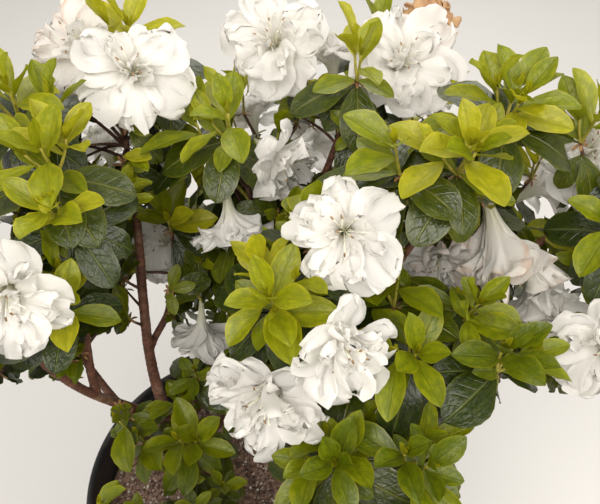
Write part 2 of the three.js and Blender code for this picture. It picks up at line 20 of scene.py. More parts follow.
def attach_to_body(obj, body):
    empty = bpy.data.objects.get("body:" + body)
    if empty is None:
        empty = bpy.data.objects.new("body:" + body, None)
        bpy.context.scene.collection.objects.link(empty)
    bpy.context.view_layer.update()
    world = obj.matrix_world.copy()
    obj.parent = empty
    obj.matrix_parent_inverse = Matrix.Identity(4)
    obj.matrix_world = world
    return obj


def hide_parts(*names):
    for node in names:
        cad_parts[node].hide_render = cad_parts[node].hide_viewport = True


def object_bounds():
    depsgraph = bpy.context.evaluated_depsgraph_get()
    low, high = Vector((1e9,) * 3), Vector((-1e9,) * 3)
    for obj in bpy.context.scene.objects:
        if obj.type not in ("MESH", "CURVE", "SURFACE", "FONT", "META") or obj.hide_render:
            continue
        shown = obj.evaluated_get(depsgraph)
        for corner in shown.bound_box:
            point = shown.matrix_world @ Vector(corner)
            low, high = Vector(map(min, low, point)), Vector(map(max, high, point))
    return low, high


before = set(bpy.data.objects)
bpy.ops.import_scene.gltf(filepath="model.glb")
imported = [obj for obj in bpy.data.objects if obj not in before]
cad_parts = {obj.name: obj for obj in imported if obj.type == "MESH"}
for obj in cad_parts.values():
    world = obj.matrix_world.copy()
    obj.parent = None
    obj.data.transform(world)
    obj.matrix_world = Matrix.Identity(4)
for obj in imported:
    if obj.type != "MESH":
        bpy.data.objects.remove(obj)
solids_box = [list(corner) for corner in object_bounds()]
MM = 0.001
print("solids", len(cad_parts), "box in metres", [[round(v, 3) for v in c] for c in solids_box])

# %% [markdown]
# ## Camera, floor and light
# The photograph looks down into the crown from about 47 degrees above the horizon. A camera is added at
# that place with a lens as long as its sensor is wide. The floor is one plain pale plane. The light is
# soft and a little warm: a large lamp high in front on the left, others nearly as strong on the right and
# behind, a faint one in front near the line of view, and a pale sky that fills the shadows.

# %% Set the camera and its floor
CAMERA_PLACE = Vector((0.067, -0.242, 0.821))
CAMERA_PITCH = math.radians(47)
SENSOR_WIDTH = 36
PICTURE_WIDTH, PICTURE_HEIGHT = 600, 504
FLOOR_SIDE = 9


def start_clean():
    """Object mode with nothing selected, because an operator acts on all that is selected."""
    if bpy.context.mode != "OBJECT":
        bpy.ops.object.mode_set(mode="OBJECT")
    bpy.ops.object.select_all(action="DESELECT")


start_clean()
bpy.ops.object.camera_add(location=CAMERA_PLACE, rotation=(math.pi / 2 - CAMERA_PITCH, 0, 0))
camera = bpy.context.object
camera.name = "plant_camera"
camera.data.sensor_width = SENSOR_WIDTH
camera.data.lens = SENSOR_WIDTH
camera.data.clip_start = 0.02
bpy.context.scene.camera = camera

start_clean()
bpy.ops.mesh.primitive_plane_add(size=FLOOR_SIDE, location=(0, 0, 0))
floor = bpy.context.object
floor.name = "floor"
print("camera at", tuple(round(v, 3) for v in camera.location))

# %% Set the lamps and the sky
LAMP_TARGET = Vector((0.03, 0.05, 0.4))
# name: place and side in metres, power in watts, colour
LAMPS = {
    "high_front_lamp": ((-0.75, -1.15, 2.3), 1.3, 26, (1.0, 0.95, 0.885)),
    "front_lamp": ((0.0, -0.8, 1.45), 0.8, 8.4, (1.0, 0.955, 0.9)),
    "right_lamp": ((1.5, -0.6, 1.5), 1.2, 23, (1.0, 0.955, 0.9)),
    "rear_lamp": ((0.2, 1.6, 1.9), 1.2, 20, (1.0, 0.97, 0.92)),
}
SKY_COLOUR = (0.96, 0.93, 0.89, 1)
SKY_STRENGTH = 0.6

for name, (place, side, power, colour) in LAMPS.items():
    start_clean()
    way = (LAMP_TARGET - Vector(place)).to_track_quat("-Z", "Y").to_euler()
    bpy.ops.object.light_add(type="AREA", location=place, rotation=way)
    lamp = bpy.context.object
    lamp.name = name
    lamp.data.size = side
    lamp.data.energy = power
    lamp.data.color = colour

world = bpy.data.worlds.new("pale_sky")
world.use_nodes = True
sky = world.node_tree.nodes["Background"].inputs
sky["Color"].default_value = SKY_COLOUR
sky["Strength"].default_value = SKY_STRENGTH
bpy.context.scene.world = world
bpy.context.scene.view_settings.view_transform = "Standard"
print("lamps", len(LAMPS))

# %% [markdown]
# ## A short way to write finishes
# Every finish is a node tree, so a small helper that adds a node, sets it and links its inputs keeps the
# later cells short. The floor gets the first one: pale, matt and very slightly uneven.

# %% Finish helpers
def new_finish(name, roughness):
    finish = bpy.data.materials.new(name)
    finish.use_nodes = True
    finish.node_tree.nodes["Principled BSDF"].inputs["Roughness"].default_value = roughness
    return finish


def skin_of(finish):
    return finish.node_tree.nodes["Principled BSDF"]


def wire(finish, kind, inputs=None, **settings):
    """Adds a node, with its settings and with each input either set or linked."""
    node = finish.node_tree.nodes.new(kind)
    for name, value in settings.items():
        setattr(node, name, value)
    for key, value in (inputs or {}).items():
        if isinstance(value, bpy.types.NodeSocket):
            finish.node_tree.links.new(value, node.inputs[key])
        else:
            node.inputs[key].default_value = value
    return node


def sums(finish, operation, *terms):
    """One step of arithmetic on terms that are numbers or sockets."""
    return wire(finish, "ShaderNodeMath", dict(enumerate(terms)), operation=operation).outputs[0]


def ramp(finish, value, low, high, to_low=0.0, to_high=1.0):
    """A soft step: the value is to_low at low and to_high at high."""
    inputs = {"Value": value, "From Min": low, "From Max": high, "To Min": to_low, "To Max": to_high}
    return wire(finish, "ShaderNodeMapRange", inputs, interpolation_type="SMOOTHSTEP").outputs[0]


def blended(finish, share, first, second):
    """A mix of two colours, each given as a socket or as red, green and blue."""
    node = wire(finish, "ShaderNodeMix", {0: share}, data_type="RGBA")
    for socket, value in ((node.inputs[6], first), (node.inputs[7], second)):
        if isinstance(value, bpy.types.NodeSocket):
            finish.node_tree.links.new(value, socket)
        else:
            socket.default_value = (*value, 1)
    return node.outputs[2]


def object_places(finish):
    return wire(finish, "ShaderNodeTexCoord").outputs["Object"]


def speckle(finish, vector, scale, detail=3.0, rough=0.5):
    inputs = {"Vector": vector, "Scale": scale, "Detail": detail, "Roughness": rough}
    return wire(finish, "ShaderNodeTexNoise", inputs).outputs[0]


def attach(finish, name, socket):
    finish.node_tree.links.new(socket, skin_of(finish).inputs[name])


def raised(finish, height, depth, strength=1.0):
    inputs = {"Height": height, "Distance": depth, "Strength": strength}
    attach(finish, "Normal", wire(finish, "ShaderNodeBump", inputs).outputs[0])


floor_finish = new_finish("pale_floor", 0.85)
patchy = speckle(floor_finish, object_places(floor_finish), 3.0)
attach(floor_finish, "Base Color", blended(floor_finish, patchy, (0.6, 0.59, 0.57), (0.65, 0.64, 0.62)))
floor.data.materials.append(floor_finish)
print("the first finish is", floor_finish.name)

# %% [markdown]
# ## The measures of the plant
# These are the same named sizes as in the source of the solids, in millimetres: where the trunk stands,
# where each mass of foliage has its heart, which whorls and blooms show, and which limb carries what.
# A whorl or bloom is given from its mass's heart, with the way it faces as azimuth and elevation.

# %% Sizes of the pot, trunk and foliage
POT_HEIGHT = 240
POT_RIM_RADIUS = 140
POT_FOOT_RADIUS = 112
POT_WALL = 2.2
POT_FLOOR = 3
LIP_DEPTH = 12
LIP_WIDTH = 5.5
MIX_TOP = 205
MIX_EDGE_DROP = 4
SEAT_GAP = 0.3
TRUNK_FOOT = Vector((-24, 26, MIX_TOP + SEAT_GAP))
TRUNK_FORK = Vector((-58, 33, 296))
TRUNK_LEAN = Vector((-0.45, 0.1, 0.9))
TRUNK_RADIUS = 10.5
TRUNK_TAPER = 0.26
FLARE_RADIUS = 16
FLARE_SHARE = 0.3
BOUGH_RADIUS = 5.6
BRANCH_RADIUS = 3.8
TIP_RADIUS = 3
STEM_LENGTH = 38
STEM_RADIUS = 2.9
STEM_END_RADIUS = STEM_RADIUS - 0.9
TWIG_RADIUS = 1.7
YOUNG_RISE = 20
ROSETTE_TRIES = 9
STREAM_STEP = 7919
GOLDEN_ANGLE = math.radians(137.5)
FULL_TURN = 2 * math.pi
BLOOM_DIAMETER = 74
BLOOM_DEPTH = 0.15 * BLOOM_DIAMETER
SPACE_MARGIN = 0.8
LIMB_MARGIN = 1.2
LIMB_SAMPLES = 24
BLOOM_ROOM = 27
ROSETTE_ROOM = 30
CROWN_MIDDLE = Vector((45, 35, 395))
UP = Vector((0, 0, 1))

# name: heart, reach, rosettes, turn, whorls [(at, face)], blooms [(at, face)]
MASSES = {
    "low_shoots": ((-46, -4, 312), 60, 1, 200, [((-36, 6, 14), (170, 60)), ((22, -10, 12), (-60, 65))], []),
    "left_shoulder": ((-122, -14, 486), 82, 2, 205,
                      [((32, 17, 10), (-20, 60)), ((-42, 22, 30), (160, 55))], [((18, -14, 62), (-75, 22))]),
    "left_crest": ((-98, 62, 528), 84, 2, 150, [((9, -2, 46), (-90, 72))], []),
    "left_rear": ((-160, 88, 446), 78, 3, 40, [], [((-34, 8, 34), (165, 30))]),
    "rear_left_crest": ((-70, 142, 554), 84, 3, 90, [],
                        [((-28, 32, 48), (-110, 45)), ((26, -26, 60), (-75, 40))]),
    "rear_left_low": ((-104, 204, 442), 80, 3, 10, [], [((-22, 40, 22), (110, 30))]),
    "inner_left": ((-46, 116, 416), 74, 1, 140, [((2, 16, 32), (-90, 70))],
                   [((-16, 26, 12), (-110, 55)), ((24, -44, -44), (-95, -60))]),
    "rear_middle": ((28, 124, 506), 80, 2, 300, [((-13, -10, 56), (-90, 70))],
                    [((30, -6, 26), (-40, -10)), ((-15, -32, -17), (-80, -50))]),
    "rear_crest": ((106, 178, 540), 84, 2, 220, [((3, -34, 48), (-90, 72))],
                   [((-60, 8, 60), (-100, 45)), ((42, 10, 42), (-80, 45)), ((-12, 58, 26), (100, 60))]),
    "rear_low": ((38, 236, 450), 82, 3, 30, [], [((-22, 44, 26), (105, 35)), ((44, 40, -8), (70, 10))]),
    "rear_right": ((168, 228, 462), 82, 3, 70, [], [((6, 34, 42), (70, 45))]),
    "right_rear": ((250, 160, 446), 80, 3, 120, [], [((40, 16, 20), (20, 25))]),
    "right_crest": ((160, 58, 540), 86, 3, 150, [((6, -10, 44), (-90, 70))], []),
    "right_hanging": ((212, 66, 460), 76, 1, 60, [],
                      [((0, -10, 44), (-70, -40)), ((44, -16, -12), (-75, -20)), ((-36, 1, 10), (-100, 5))]),
    "right_side": ((286, 88, 520), 76, 3, 350, [((0, -42, 2), (-100, 60))], [((-6, 22, 36), (-100, 45))]),
    "right_end": ((286, -10, 456), 74, 3, 20, [], [((-16, -10, 30), (-120, 30))]),
    "centre": ((70, -10, 496), 88, 1, 180, [((-18, 9, 6), (-130, 65))],
               [((23, 17, 76), (-96, 45)), ((23, -35, 27), (-80, 18)), ((-29, -37, -29), (-115, 18))]),
    "right_front": ((158, -4, 452), 84, 2, 260,
                    [((-18, -12, 16), (-90, 60)), ((24, 18, 28), (-60, 65))], []),
    "front_right": ((116, -72, 398), 80, 1, 300,
                    [((-24, 10, 18), (-120, 55)), ((26, -2, 22), (-40, 60))], []),
    "front": ((12, -158, 404), 80, 4, 290, [], [((-26, -30, 36), (-110, 30)), ((40, -38, 4), (-70, 15))]),
    "front_left": ((-106, -134, 394), 80, 4, 240, [], [((-30, -20, 34), (-145, 35))]),
    "front_right_low": ((158, -156, 396), 80, 4, 310, [], [((32, -24, 30), (-40, 30))]),
}

# name: parent, share of the parent's length, mass carried, direction of leaving where it shows
LIMBS = {
    "left_bough": ("trunk", 0.84, "left_shoulder", (-0.8, 0.1, 0.6)),
    "middle_bough": ("trunk", 1, "rear_left_crest", (-0.2, 0.2, 1)),
    "centre_bough": ("trunk", 0.93, "centre", (0.35, 0.5, 0.7)),
    "rear_bough": ("trunk", 0.72, "rear_crest", (0.3, 0.9, 0.5)),
    "right_bough": ("trunk", 0.55, "right_crest", (0.75, 0.3, 0.6)),
    "front_bough": ("trunk", 0.36, "front", (0.05, -0.8, 0.6)),
    "low_branch": ("trunk", 0.5, "low_shoots", (-0.5, -0.8, 0.5)),
    "left_crest_branch": ("left_bough", 0.6, "left_crest", None),
    "left_rear_branch": ("left_bough", 0.42, "left_rear", None),
    "inner_left_branch": ("middle_bough", 0.3, "inner_left", None),
    "rear_left_branch": ("middle_bough", 0.45, "rear_left_low", None),
    "rear_middle_branch": ("centre_bough", 0.5, "rear_middle", None),
    "rear_low_branch": ("rear_bough", 0.5, "rear_low", None),
    "rear_right_branch": ("rear_bough", 0.66, "rear_right", None),
    "front_right_branch": ("right_bough", 0.35, "front_right", None),
    "right_front_branch": ("right_bough", 0.52, "right_front", None),
    "right_hanging_branch": ("right_bough", 0.74, "right_hanging", None),
    "right_rear_branch": ("right_bough", 0.6, "right_rear", None),
    "right_side_branch": ("right_rear_branch", 0.5, "right_side", None),
    "right_end_branch": ("right_hanging_branch", 0.6, "right_end", None),
    "front_left_branch": ("front_bough", 0.4, "front_left", None),
    "front_low_branch": ("front_bough", 0.55, "front_right_low", None),
}
print(len(MASSES), "masses on", len(LIMBS), "limbs")

# %% [markdown]
# ## Curves, directions and chance
# A limb, twig or stalk is a bowed curve: it leaves one point in a direction and arrives at another in a
# second direction. Chance comes from one small repeatable stream, so the plant is the same at each run.

# %% The number stream, directions and bowed curves
ANY_TURN = 6.28


def number_stream(seed):
    """A function that draws the next number between 0 and 1."""
    state = seed

    def draw():
        nonlocal state
        state = state * 16807 % 2147483647
        return state / 2147483647

    return draw


def facing(angles):
    """The direction of an azimuth and elevation in degrees."""
    azimuth, elevation = (math.radians(angle) for angle in angles)
    flat = math.cos(elevation)
    return Vector((math.cos(azimuth) * flat, math.sin(azimuth) * flat, math.sin(elevation)))


def across_axis(axis):
    """Two directions at right angles to the axis and to each other."""
    helper = UP if abs(axis.z) < 0.9 else Vector((1, 0, 0))
    side = helper.cross(axis).normalized()
    return side, axis.cross(side)


def leaning(axis, angle, turn):
    """The direction that leans by an angle from the axis, at a turn round it, both in radians."""
    side, other = across_axis(axis)
    return axis * math.cos(angle) + (side * math.cos(turn) + other * math.sin(turn)) * math.sin(angle)


class Bow:
    """A curve that leaves one point in a direction and arrives at another in a second direction."""

    def __init__(self, start, leave, end, arrive, pull=0.38):
        reach = (end - start).length * pull
        self.knots = (start, start + leave * reach, end - arrive * reach, end)

    def at(self, share):
        a, b, c, d = self.knots
        rest = 1 - share
        return a * rest**3 + b * (3 * rest * rest * share) + c * (3 * rest * share * share) + d * share**3

    def heading(self, share):
        a, b, c, d = self.knots
        rest = 1 - share
        return ((b - a) * rest * rest + (c - b) * (2 * rest * share) + (d - c) * share * share).normalized()


print("the first three draws of stream 1:", [round(draw(), 4) for draw in [number_stream(1)] * 3])

# %% [markdown]
# ## Where each limb runs
# Each limb leaves its parent part of the way along and ends one stem's length short of the mass that it
# carries. The stem goes on from there to the mass's heart. Only the curves are worked out here; the bark
# is laid on them later.

# %% Lay out the trunk, boughs and stems
def lay_out_limbs():
    """Each limb's curve, with its radius at both ends."""
    trunk = Bow(TRUNK_FOOT, UP, TRUNK_FORK, TRUNK_LEAN.normalized())
    limbs = {"trunk": (trunk, TRUNK_RADIUS, TRUNK_RADIUS * (1 - TRUNK_TAPER))}
    for name, (parent, share, carried, leave) in LIMBS.items():
        stock = limbs[parent][0]
        start = stock.at(share)
        heart = Vector(MASSES[carried][0])
        towards = (heart - start).normalized()
        away = Vector(leave) if leave else stock.heading(share) * 0.5 + towards
        arrive = (towards + UP * 0.55).normalized()
        thick = BOUGH_RADIUS if parent == "trunk" else BRANCH_RADIUS
        limbs[name] = (Bow(start, away.normalized(), heart - arrive * STEM_LENGTH, arrive), thick, TIP_RADIUS)
    return limbs


limbs = lay_out_limbs()
stems = {}
for limb_name, (_, _, carried, _) in LIMBS.items():
    limb_curve = limbs[limb_name][0]
    heart = Vector(MASSES[carried][0])
    outward = ((heart - CROWN_MIDDLE).normalized() + UP * 0.75).normalized()
    ending = limb_curve.heading(1)
    stems[carried] = (Bow(limb_curve.at(1) + ending * SEAT_GAP, ending, heart, outward), outward)
print("limbs and stems laid out:", len(limbs), len(stems))

# %% [markdown]
# ## The space of each mass
# A twig keeps to the space that is nearer to its own mass's heart, whorls and blooms than to any other
# mass's, and it stays clear of every limb, the pot and the mix. This is the same test as in the source,
# so the whorls land where they do in the solids.

# %% The test of whether points have room
def radius_on(limb, share):
    return limb[1] + (limb[2] - limb[1]) * share


def trunk_radius(share):
    flare = (FLARE_RADIUS - TRUNK_RADIUS) * max(0, 1 - share / FLARE_SHARE) ** 2
    return TRUNK_RADIUS * (1 - TRUNK_TAPER * share) + flare


INSIDE_RIM = POT_RIM_RADIUS - 18
OUTSIDE_RIM = POT_RIM_RADIUS + 4
WOOD_BOX = 30.0
WOOD_REACH = 62.0

site_places, site_owners = [], []
for mass_name, (heart, _, _, _, whorls, open_blooms) in MASSES.items():
    for offset in [(0, 0, 0)] + [at for at, _ in open_blooms] + [at for at, _ in whorls]:
        site_places.append([h + o for h, o in zip(heart, offset)])
        site_owners.append(mass_name)
site_places, site_owners = np.array(site_places, float), np.array(site_owners)

limb_places, limb_radii = [], []
for limb_name, limb in limbs.items():
    for step in range(LIMB_SAMPLES + 1):
        share = step / LIMB_SAMPLES
        limb_places.append(limb[0].at(share))
        limb_radii.append(trunk_radius(share) if limb_name == "trunk" else radius_on(limb, share))
limb_places, limb_radii = np.array([tuple(p) for p in limb_places]), np.array(limb_radii)
wood_near = {}
print("sites", len(site_places), "and samples on the limbs", len(limb_places))


def wood_around(middle):
    """The limb points that anything of a leaf's size round this place could touch."""
    key = tuple((middle // WOOD_BOX).astype(int))
    if key not in wood_near:
        box_middle = (np.array(key) + 0.5) * WOOD_BOX
        near = (abs(limb_places - box_middle) < WOOD_BOX / 2 + WOOD_REACH).all(1)
        wood_near[key] = (limb_places[near], limb_radii[near])
    return wood_near[key]


def clear_of_wood(points, margin):
    low, high = points.min(0), points.max(0)
    if low[2] < POT_HEIGHT + margin:
        from_axis = np.hypot(points[:, 0], points[:, 1])
        over_mix = (from_axis < INSIDE_RIM) & (points[:, 2] > MIX_TOP + margin)
        off_pot = over_mix | (points[:, 2] > POT_HEIGHT + margin) | (from_axis > OUTSIDE_RIM)
        if not off_pot.all():
            return False
    small = (high - low).max() < 2 * (WOOD_REACH - FLARE_RADIUS - 6)
    places, radii = wood_around((low + high) / 2) if small else (limb_places, limb_radii)
    if not len(places):
        return True
    gaps = points[:, None] - places
    return bool(((gaps * gaps).sum(2) > (radii + margin + LIMB_MARGIN) ** 2).all())


def has_room(points, name, margin):
    points = np.array([tuple(p) for p in points])
    gaps = np.linalg.norm(points[:, None] - site_places, axis=2)
    own = gaps[:, site_owners == name].min(1)
    others = gaps[:, site_owners != name].min(1)
    return bool((others - own > 2 * SPACE_MARGIN).all()) and clear_of_wood(points, margin)


# %% [markdown]
# ## Blooms and whorls by the source's rule
# Each mass has its blooms and whorls where the photograph shows them, and then further rosettes at the
# golden angle round its stem. The order in which numbers are drawn is the source's own.

# %% Lay out the blooms and rosettes of each mass
def try_rosette(laid, root, crown, axis, turn, name, apart=ROSETTE_ROOM, size=1.0):
    top = crown + axis * YOUNG_RISE * size
    leave = ((top - root).normalized() + laid["out"] * 0.4).normalized()
    twig = Bow(root, leave, top, axis)
    route = [twig.at(share) for share in (0.3, 0.5, 0.7, 0.85, 1)]
    for _, mouth, face in laid["blooms"]:
        middle = mouth - face * BLOOM_DEPTH
        if any((point - middle).length <= BLOOM_ROOM for point in route):
            return False
    if any((other["top"] - top).length <= apart for other in laid["rosettes"]):
        return False
    if not has_room(route, name, TWIG_RADIUS):
        return False
    laid["rosettes"].append({"twig": twig, "top": top, "axis": axis, "turn": turn, "size": size})
    return True


def lay_out_mass(name, number):
    heart_place, reach, count, turn, whorls, open_blooms = MASSES[name]
    draw = number_stream(STREAM_STEP * (number + 1))
    heart = Vector(heart_place)
    stem, out = stems[name]
    shoots = len(open_blooms) + len(whorls) + count

    def root_of(shoot):
        return stem.at(0.25 + 0.7 * (shoot + 1) / shoots)

    laid = {"out": out, "rosettes": [], "blooms": [
        (root_of(k), heart + Vector(at), facing(face)) for k, (at, face) in enumerate(open_blooms)]}
    for k, (at, face) in enumerate(whorls):
        try_rosette(laid, root_of(len(open_blooms) + k), heart + Vector(at), facing(face), k, name)
    laid["shown"] = len(laid["rosettes"])
    for k in range(count):
        root = root_of(len(open_blooms) + len(whorls) + k)
        spread = math.acos(1 - 1.15 * (k + 0.5) / count)
        start = math.radians(turn) + k * GOLDEN_ANGLE
        for attempt in range(ROSETTE_TRIES):
            away = leaning(out, spread + 0.25 * (draw() - 0.5), start + attempt * 0.7)
            crown = heart + away * (reach * (0.62 - 0.04 * attempt))
            axis = (away * 0.5 + UP * 0.8).normalized()
            if try_rosette(laid, root, crown, axis, start, name):
                break
    return laid


layouts = {name: lay_out_mass(name, number) for number, name in enumerate(MASSES)}
print("blooms", sum(len(laid["blooms"]) for laid in layouts.values()),
      "rosettes", sum(len(laid["rosettes"]) for laid in layouts.values()))

# %% Add the whorls that show but are too fine for the solids
EXTRA_APART = 24
EXTRA_SIZE = 0.96
# mass, place from its heart, facing
EXTRA_WHORLS = [("left_crest", (-26, 40, 60), (-110, 70)), ("right_side", (-30, 8, 52), (-110, 72)),
                ("right_crest", (44, 30, 56), (-60, 72)), ("left_shoulder", (-16, 30, 44), (-110, 70))]
for name, at, face in EXTRA_WHORLS:
    laid = layouts[name]
    root, crown = stems[name][0].at(0.9), Vector(MASSES[name][0]) + Vector(at)
    if try_rosette(laid, root, crown, facing(face), 1.0, name, EXTRA_APART, EXTRA_SIZE):
        laid["rosettes"].insert(0, laid["rosettes"].pop())
        laid["shown"] += 1
        print("extra whorl on", name)

# %% [markdown]
# ## What the photograph keeps open
# Filling a crown at random would hide the blooms and the dark gap where the boughs show. So finer growth
# is tested by sight lines: it isn't put in front of a bloom that is open to the camera, nor in the gaps.

# %% Sight lines from the camera
LOOK = Vector((0, math.cos(CAMERA_PITCH), -math.sin(CAMERA_PITCH)))
LOOK_UP = Vector((0, math.sin(CAMERA_PITCH), math.cos(CAMERA_PITCH)))
# Gaps as boxes in the picture: left, top, right, bottom
OPEN_GAPS = [(-40, 385, 95, 560), (85, 335, 165, 400), (70, 400, 110, 445), (130, 275, 165, 330),
             (505, 395, 640, 560), (470, 430, 520, 560)]
SEEN_DEPTH = 8
SEEN_RADIUS = 0.36 * BLOOM_DIAMETER


def seen_at(points):
    """Picture places across and down, and the depth in millimetres, of points in millimetres."""
    x, y, z = (np.asarray(points, float).reshape(-1, 3) - np.array(CAMERA_PLACE) / MM).T
    depth = y * LOOK.y + z * LOOK.z
    across = PICTURE_WIDTH / 2 + PICTURE_WIDTH * x / depth
    down = PICTURE_HEIGHT / 2 - PICTURE_WIDTH * (y * LOOK_UP.y + z * LOOK_UP.z) / depth
    return across, down, depth


bloom_views = []
for laid in layouts.values():
    for _, mouth, face in laid["blooms"]:
        (across,), (down,), (depth,) = seen_at(tuple(mouth - face * SEEN_DEPTH))
        bloom_views.append((across, down, depth, SEEN_RADIUS * PICTURE_WIDTH / depth))
bloom_views = np.array(bloom_views)
print("blooms kept open to view", len(bloom_views))


def blocks_view(points, share=1.0):
    """Whether a point is in one of the gaps, or in front of that share of a bloom."""
    across, down, depth = seen_at(points)
    for left, top, right, bottom in OPEN_GAPS:
        if ((across > left) & (across < right) & (down > top) & (down < bottom)).any():
            return True
    gaps = np.hypot(across[:, None] - bloom_views[:, 0], down[:, None] - bloom_views[:, 1])
    nearer = depth[:, None] < bloom_views[:, 2] - 4
    return bool(((gaps < bloom_views[:, 3] * share) & nearer).any())


# %% [markdown]
# ## The pot
# A nursery pot is blown or moulded from thin black plastic, with a step under a rolled lip. It could be
# turned with the spin operator; here an open circle is extruded on from ring to ring, which follows the
# wall up outside and down inside in one go. Slots for drainage are then cut out of the foot's corner, and
# a bevel rounds each edge so that it catches the light.

# %% Turn a shell and apply modifiers
def turned_shell(name, rings, sides):
    """A round shell: an open circle whose edge loop is extruded on through rings of (radius, height)."""
    start_clean()
    radius, height = rings[0]
    bpy.ops.mesh.primitive_circle_add(vertices=sides, radius=radius * MM, location=(0, 0, height * MM))
    shell = bpy.context.object
    shell.name = name
    bpy.ops.object.transform_apply(location=True)
    bpy.ops.object.mode_set(mode="EDIT")
    bpy.ops.mesh.select_mode(type="EDGE")
    bpy.ops.mesh.select_all(action="SELECT")
    bpy.ops.mesh.edge_face_add()
    for next_radius, next_height in rings[1:]:
        rise = (0, 0, (next_height - height) * MM)
        bpy.ops.mesh.extrude_edges_move(TRANSFORM_OT_translate={"value": rise})
        bpy.ops.transform.resize(value=(next_radius / radius, next_radius / radius, 1))
        radius, height = next_radius, next_height
    bpy.ops.mesh.edge_face_add()
    bpy.ops.mesh.select_all(action="SELECT")
    bpy.ops.mesh.normals_make_consistent(inside=False)
    bpy.ops.object.mode_set(mode="OBJECT")
    return shell


def pick_only(piece):
    start_clean()
    piece.select_set(True)
    bpy.context.view_layer.objects.active = piece


def apply_modifier(piece, kind, **settings):
    pick_only(piece)
    modifier = piece.modifiers.new(kind.lower(), kind)
    for name, value in settings.items():
        setattr(modifier, name, value)
    bpy.ops.object.modifier_apply(modifier=modifier.name)


# %% Model the pot
POT_SIDES = 120
SLOT_COUNT = 6
SLOT_SIDE = 0.018
POT_EDGE = 0.0005
LIP_UNDER = POT_HEIGHT - LIP_DEPTH
WALL_TOP = POT_RIM_RADIUS - LIP_WIDTH
POT_INSIDE = WALL_TOP - POT_WALL + 0.6
# Rings of (radius, height): underside, foot, step, wall, lip, and down inside to the floor
POT_RINGS = [
    (POT_FOOT_RADIUS - 10, 0), (POT_FOOT_RADIUS - 3, 0), (POT_FOOT_RADIUS - 0.8, 1),
    (POT_FOOT_RADIUS, 3.2), (POT_FOOT_RADIUS + 3.2, 32), (POT_FOOT_RADIUS + 2.9, 35),
    (WALL_TOP - 7.4, 160), (WALL_TOP - 3.4, LIP_UNDER - 27), (WALL_TOP - 1.4, LIP_UNDER - 25.6),
    (WALL_TOP - 0.8, LIP_UNDER - 23), (WALL_TOP - 0.2, LIP_UNDER - 0.6),
    (POT_RIM_RADIUS - 1.4, LIP_UNDER + 0.2), (POT_RIM_RADIUS, LIP_UNDER + 1.6),
    (POT_RIM_RADIUS, POT_HEIGHT - 3.2), (POT_RIM_RADIUS - 0.9, POT_HEIGHT - 1.1),
    (POT_RIM_RADIUS - 2.6, POT_HEIGHT), (POT_INSIDE + 2.4, POT_HEIGHT),
    (POT_INSIDE + 0.7, POT_HEIGHT - 0.8), (POT_INSIDE, POT_HEIGHT - 3),
    (POT_INSIDE - 3.4, POT_HEIGHT - 38), (POT_FOOT_RADIUS - POT_WALL, POT_FLOOR),
]
pot = turned_shell("pot_shell", POT_RINGS, POT_SIDES)

start_clean()
bpy.ops.mesh.primitive_cube_add(size=1, location=(POT_FOOT_RADIUS * MM, 0, 0))
slot_cutter = bpy.context.object
slot_cutter.scale = (SLOT_SIDE, SLOT_SIDE, SLOT_SIDE)
bpy.ops.object.transform_apply(location=True, scale=True)
for k in range(SLOT_COUNT):
    pick_only(slot_cutter)
    bpy.ops.object.duplicate()
    spare = bpy.context.object
    spare.rotation_euler.z = FULL_TURN * (k + 0.5) / SLOT_COUNT
    bpy.ops.object.transform_apply(rotation=True)
    apply_modifier(pot, "BOOLEAN", operation="DIFFERENCE", solver="EXACT", object=spare)
    bpy.data.objects.remove(spare)
bpy.data.objects.remove(slot_cutter)
apply_modifier(pot, "BEVEL", width=POT_EDGE, segments=2, limit_method="ANGLE", angle_limit=math.radians(38))
pick_only(pot)
bpy.ops.object.shade_smooth_by_angle(angle=math.radians(35))
print("pot faces", len(pot.data.polygons))

# %% [markdown]
# Black nursery plastic has a fine moulded grain, faint rings round it, and a film of dust and splashed
# grit that is thicker low down. All three are noise on the pot's own coordinates.

# %% Finish the pot
BLACK_PLASTIC = (0.012, 0.0125, 0.014)
DUST = (0.1, 0.09, 0.078)
pot_finish = new_finish("black_nursery_plastic", 0.42)
places = object_places(pot_finish)
height = wire(pot_finish, "ShaderNodeSeparateXYZ", {0: places}).outputs["Z"]
dust_spots = speckle(pot_finish, places, 38, 6, 0.65)
low_dust = ramp(pot_finish, height, 0.0, 0.11, 0.22, 0.0)
dust = ramp(pot_finish, sums(pot_finish, "ADD", dust_spots, low_dust), 0.5, 0.86, 0.02, 0.75)
attach(pot_finish, "Base Color", blended(pot_finish, dust, BLACK_PLASTIC, DUST))
attach(pot_finish, "Roughness", ramp(pot_finish, dust, 0.0, 0.6, 0.36, 0.72))
grain = speckle(pot_finish, places, 900, 2)
rings = wire(pot_finish, "ShaderNodeTexWave", {"Vector": places, "Scale": 32.0, "Distortion": 0.4},
             bands_direction="Z").outputs["Fac"]
raised(pot_finish, sums(pot_finish, "MULTIPLY_ADD", rings, 0.35, grain), 0.00025, 0.55)
pot.data.materials.append(pot_finish)
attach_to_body(pot, "root")
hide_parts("pot")
print("pot finish", pot_finish.name)

# %% [markdown]
# ## The bed of potting mix
# The mix is a closed shell like the pot, turned with many rings across its top. Those rings are then
# moved by noise into the low humps and hollows that watering leaves. It sinks a little at its edge.

# %% Model the bed
BED_SIDES = 96
BED_RINGS = 30
RING_STEP = 4.2
BED_EDGE_WIDTH = 30
BED_EDGE_TOP = MIX_TOP - MIX_EDGE_DROP


def pot_inner_radius(z):
    foot = POT_FOOT_RADIUS - POT_WALL
    return foot + (POT_INSIDE - foot) * (z - POT_FLOOR) / (POT_HEIGHT - POT_FLOOR)


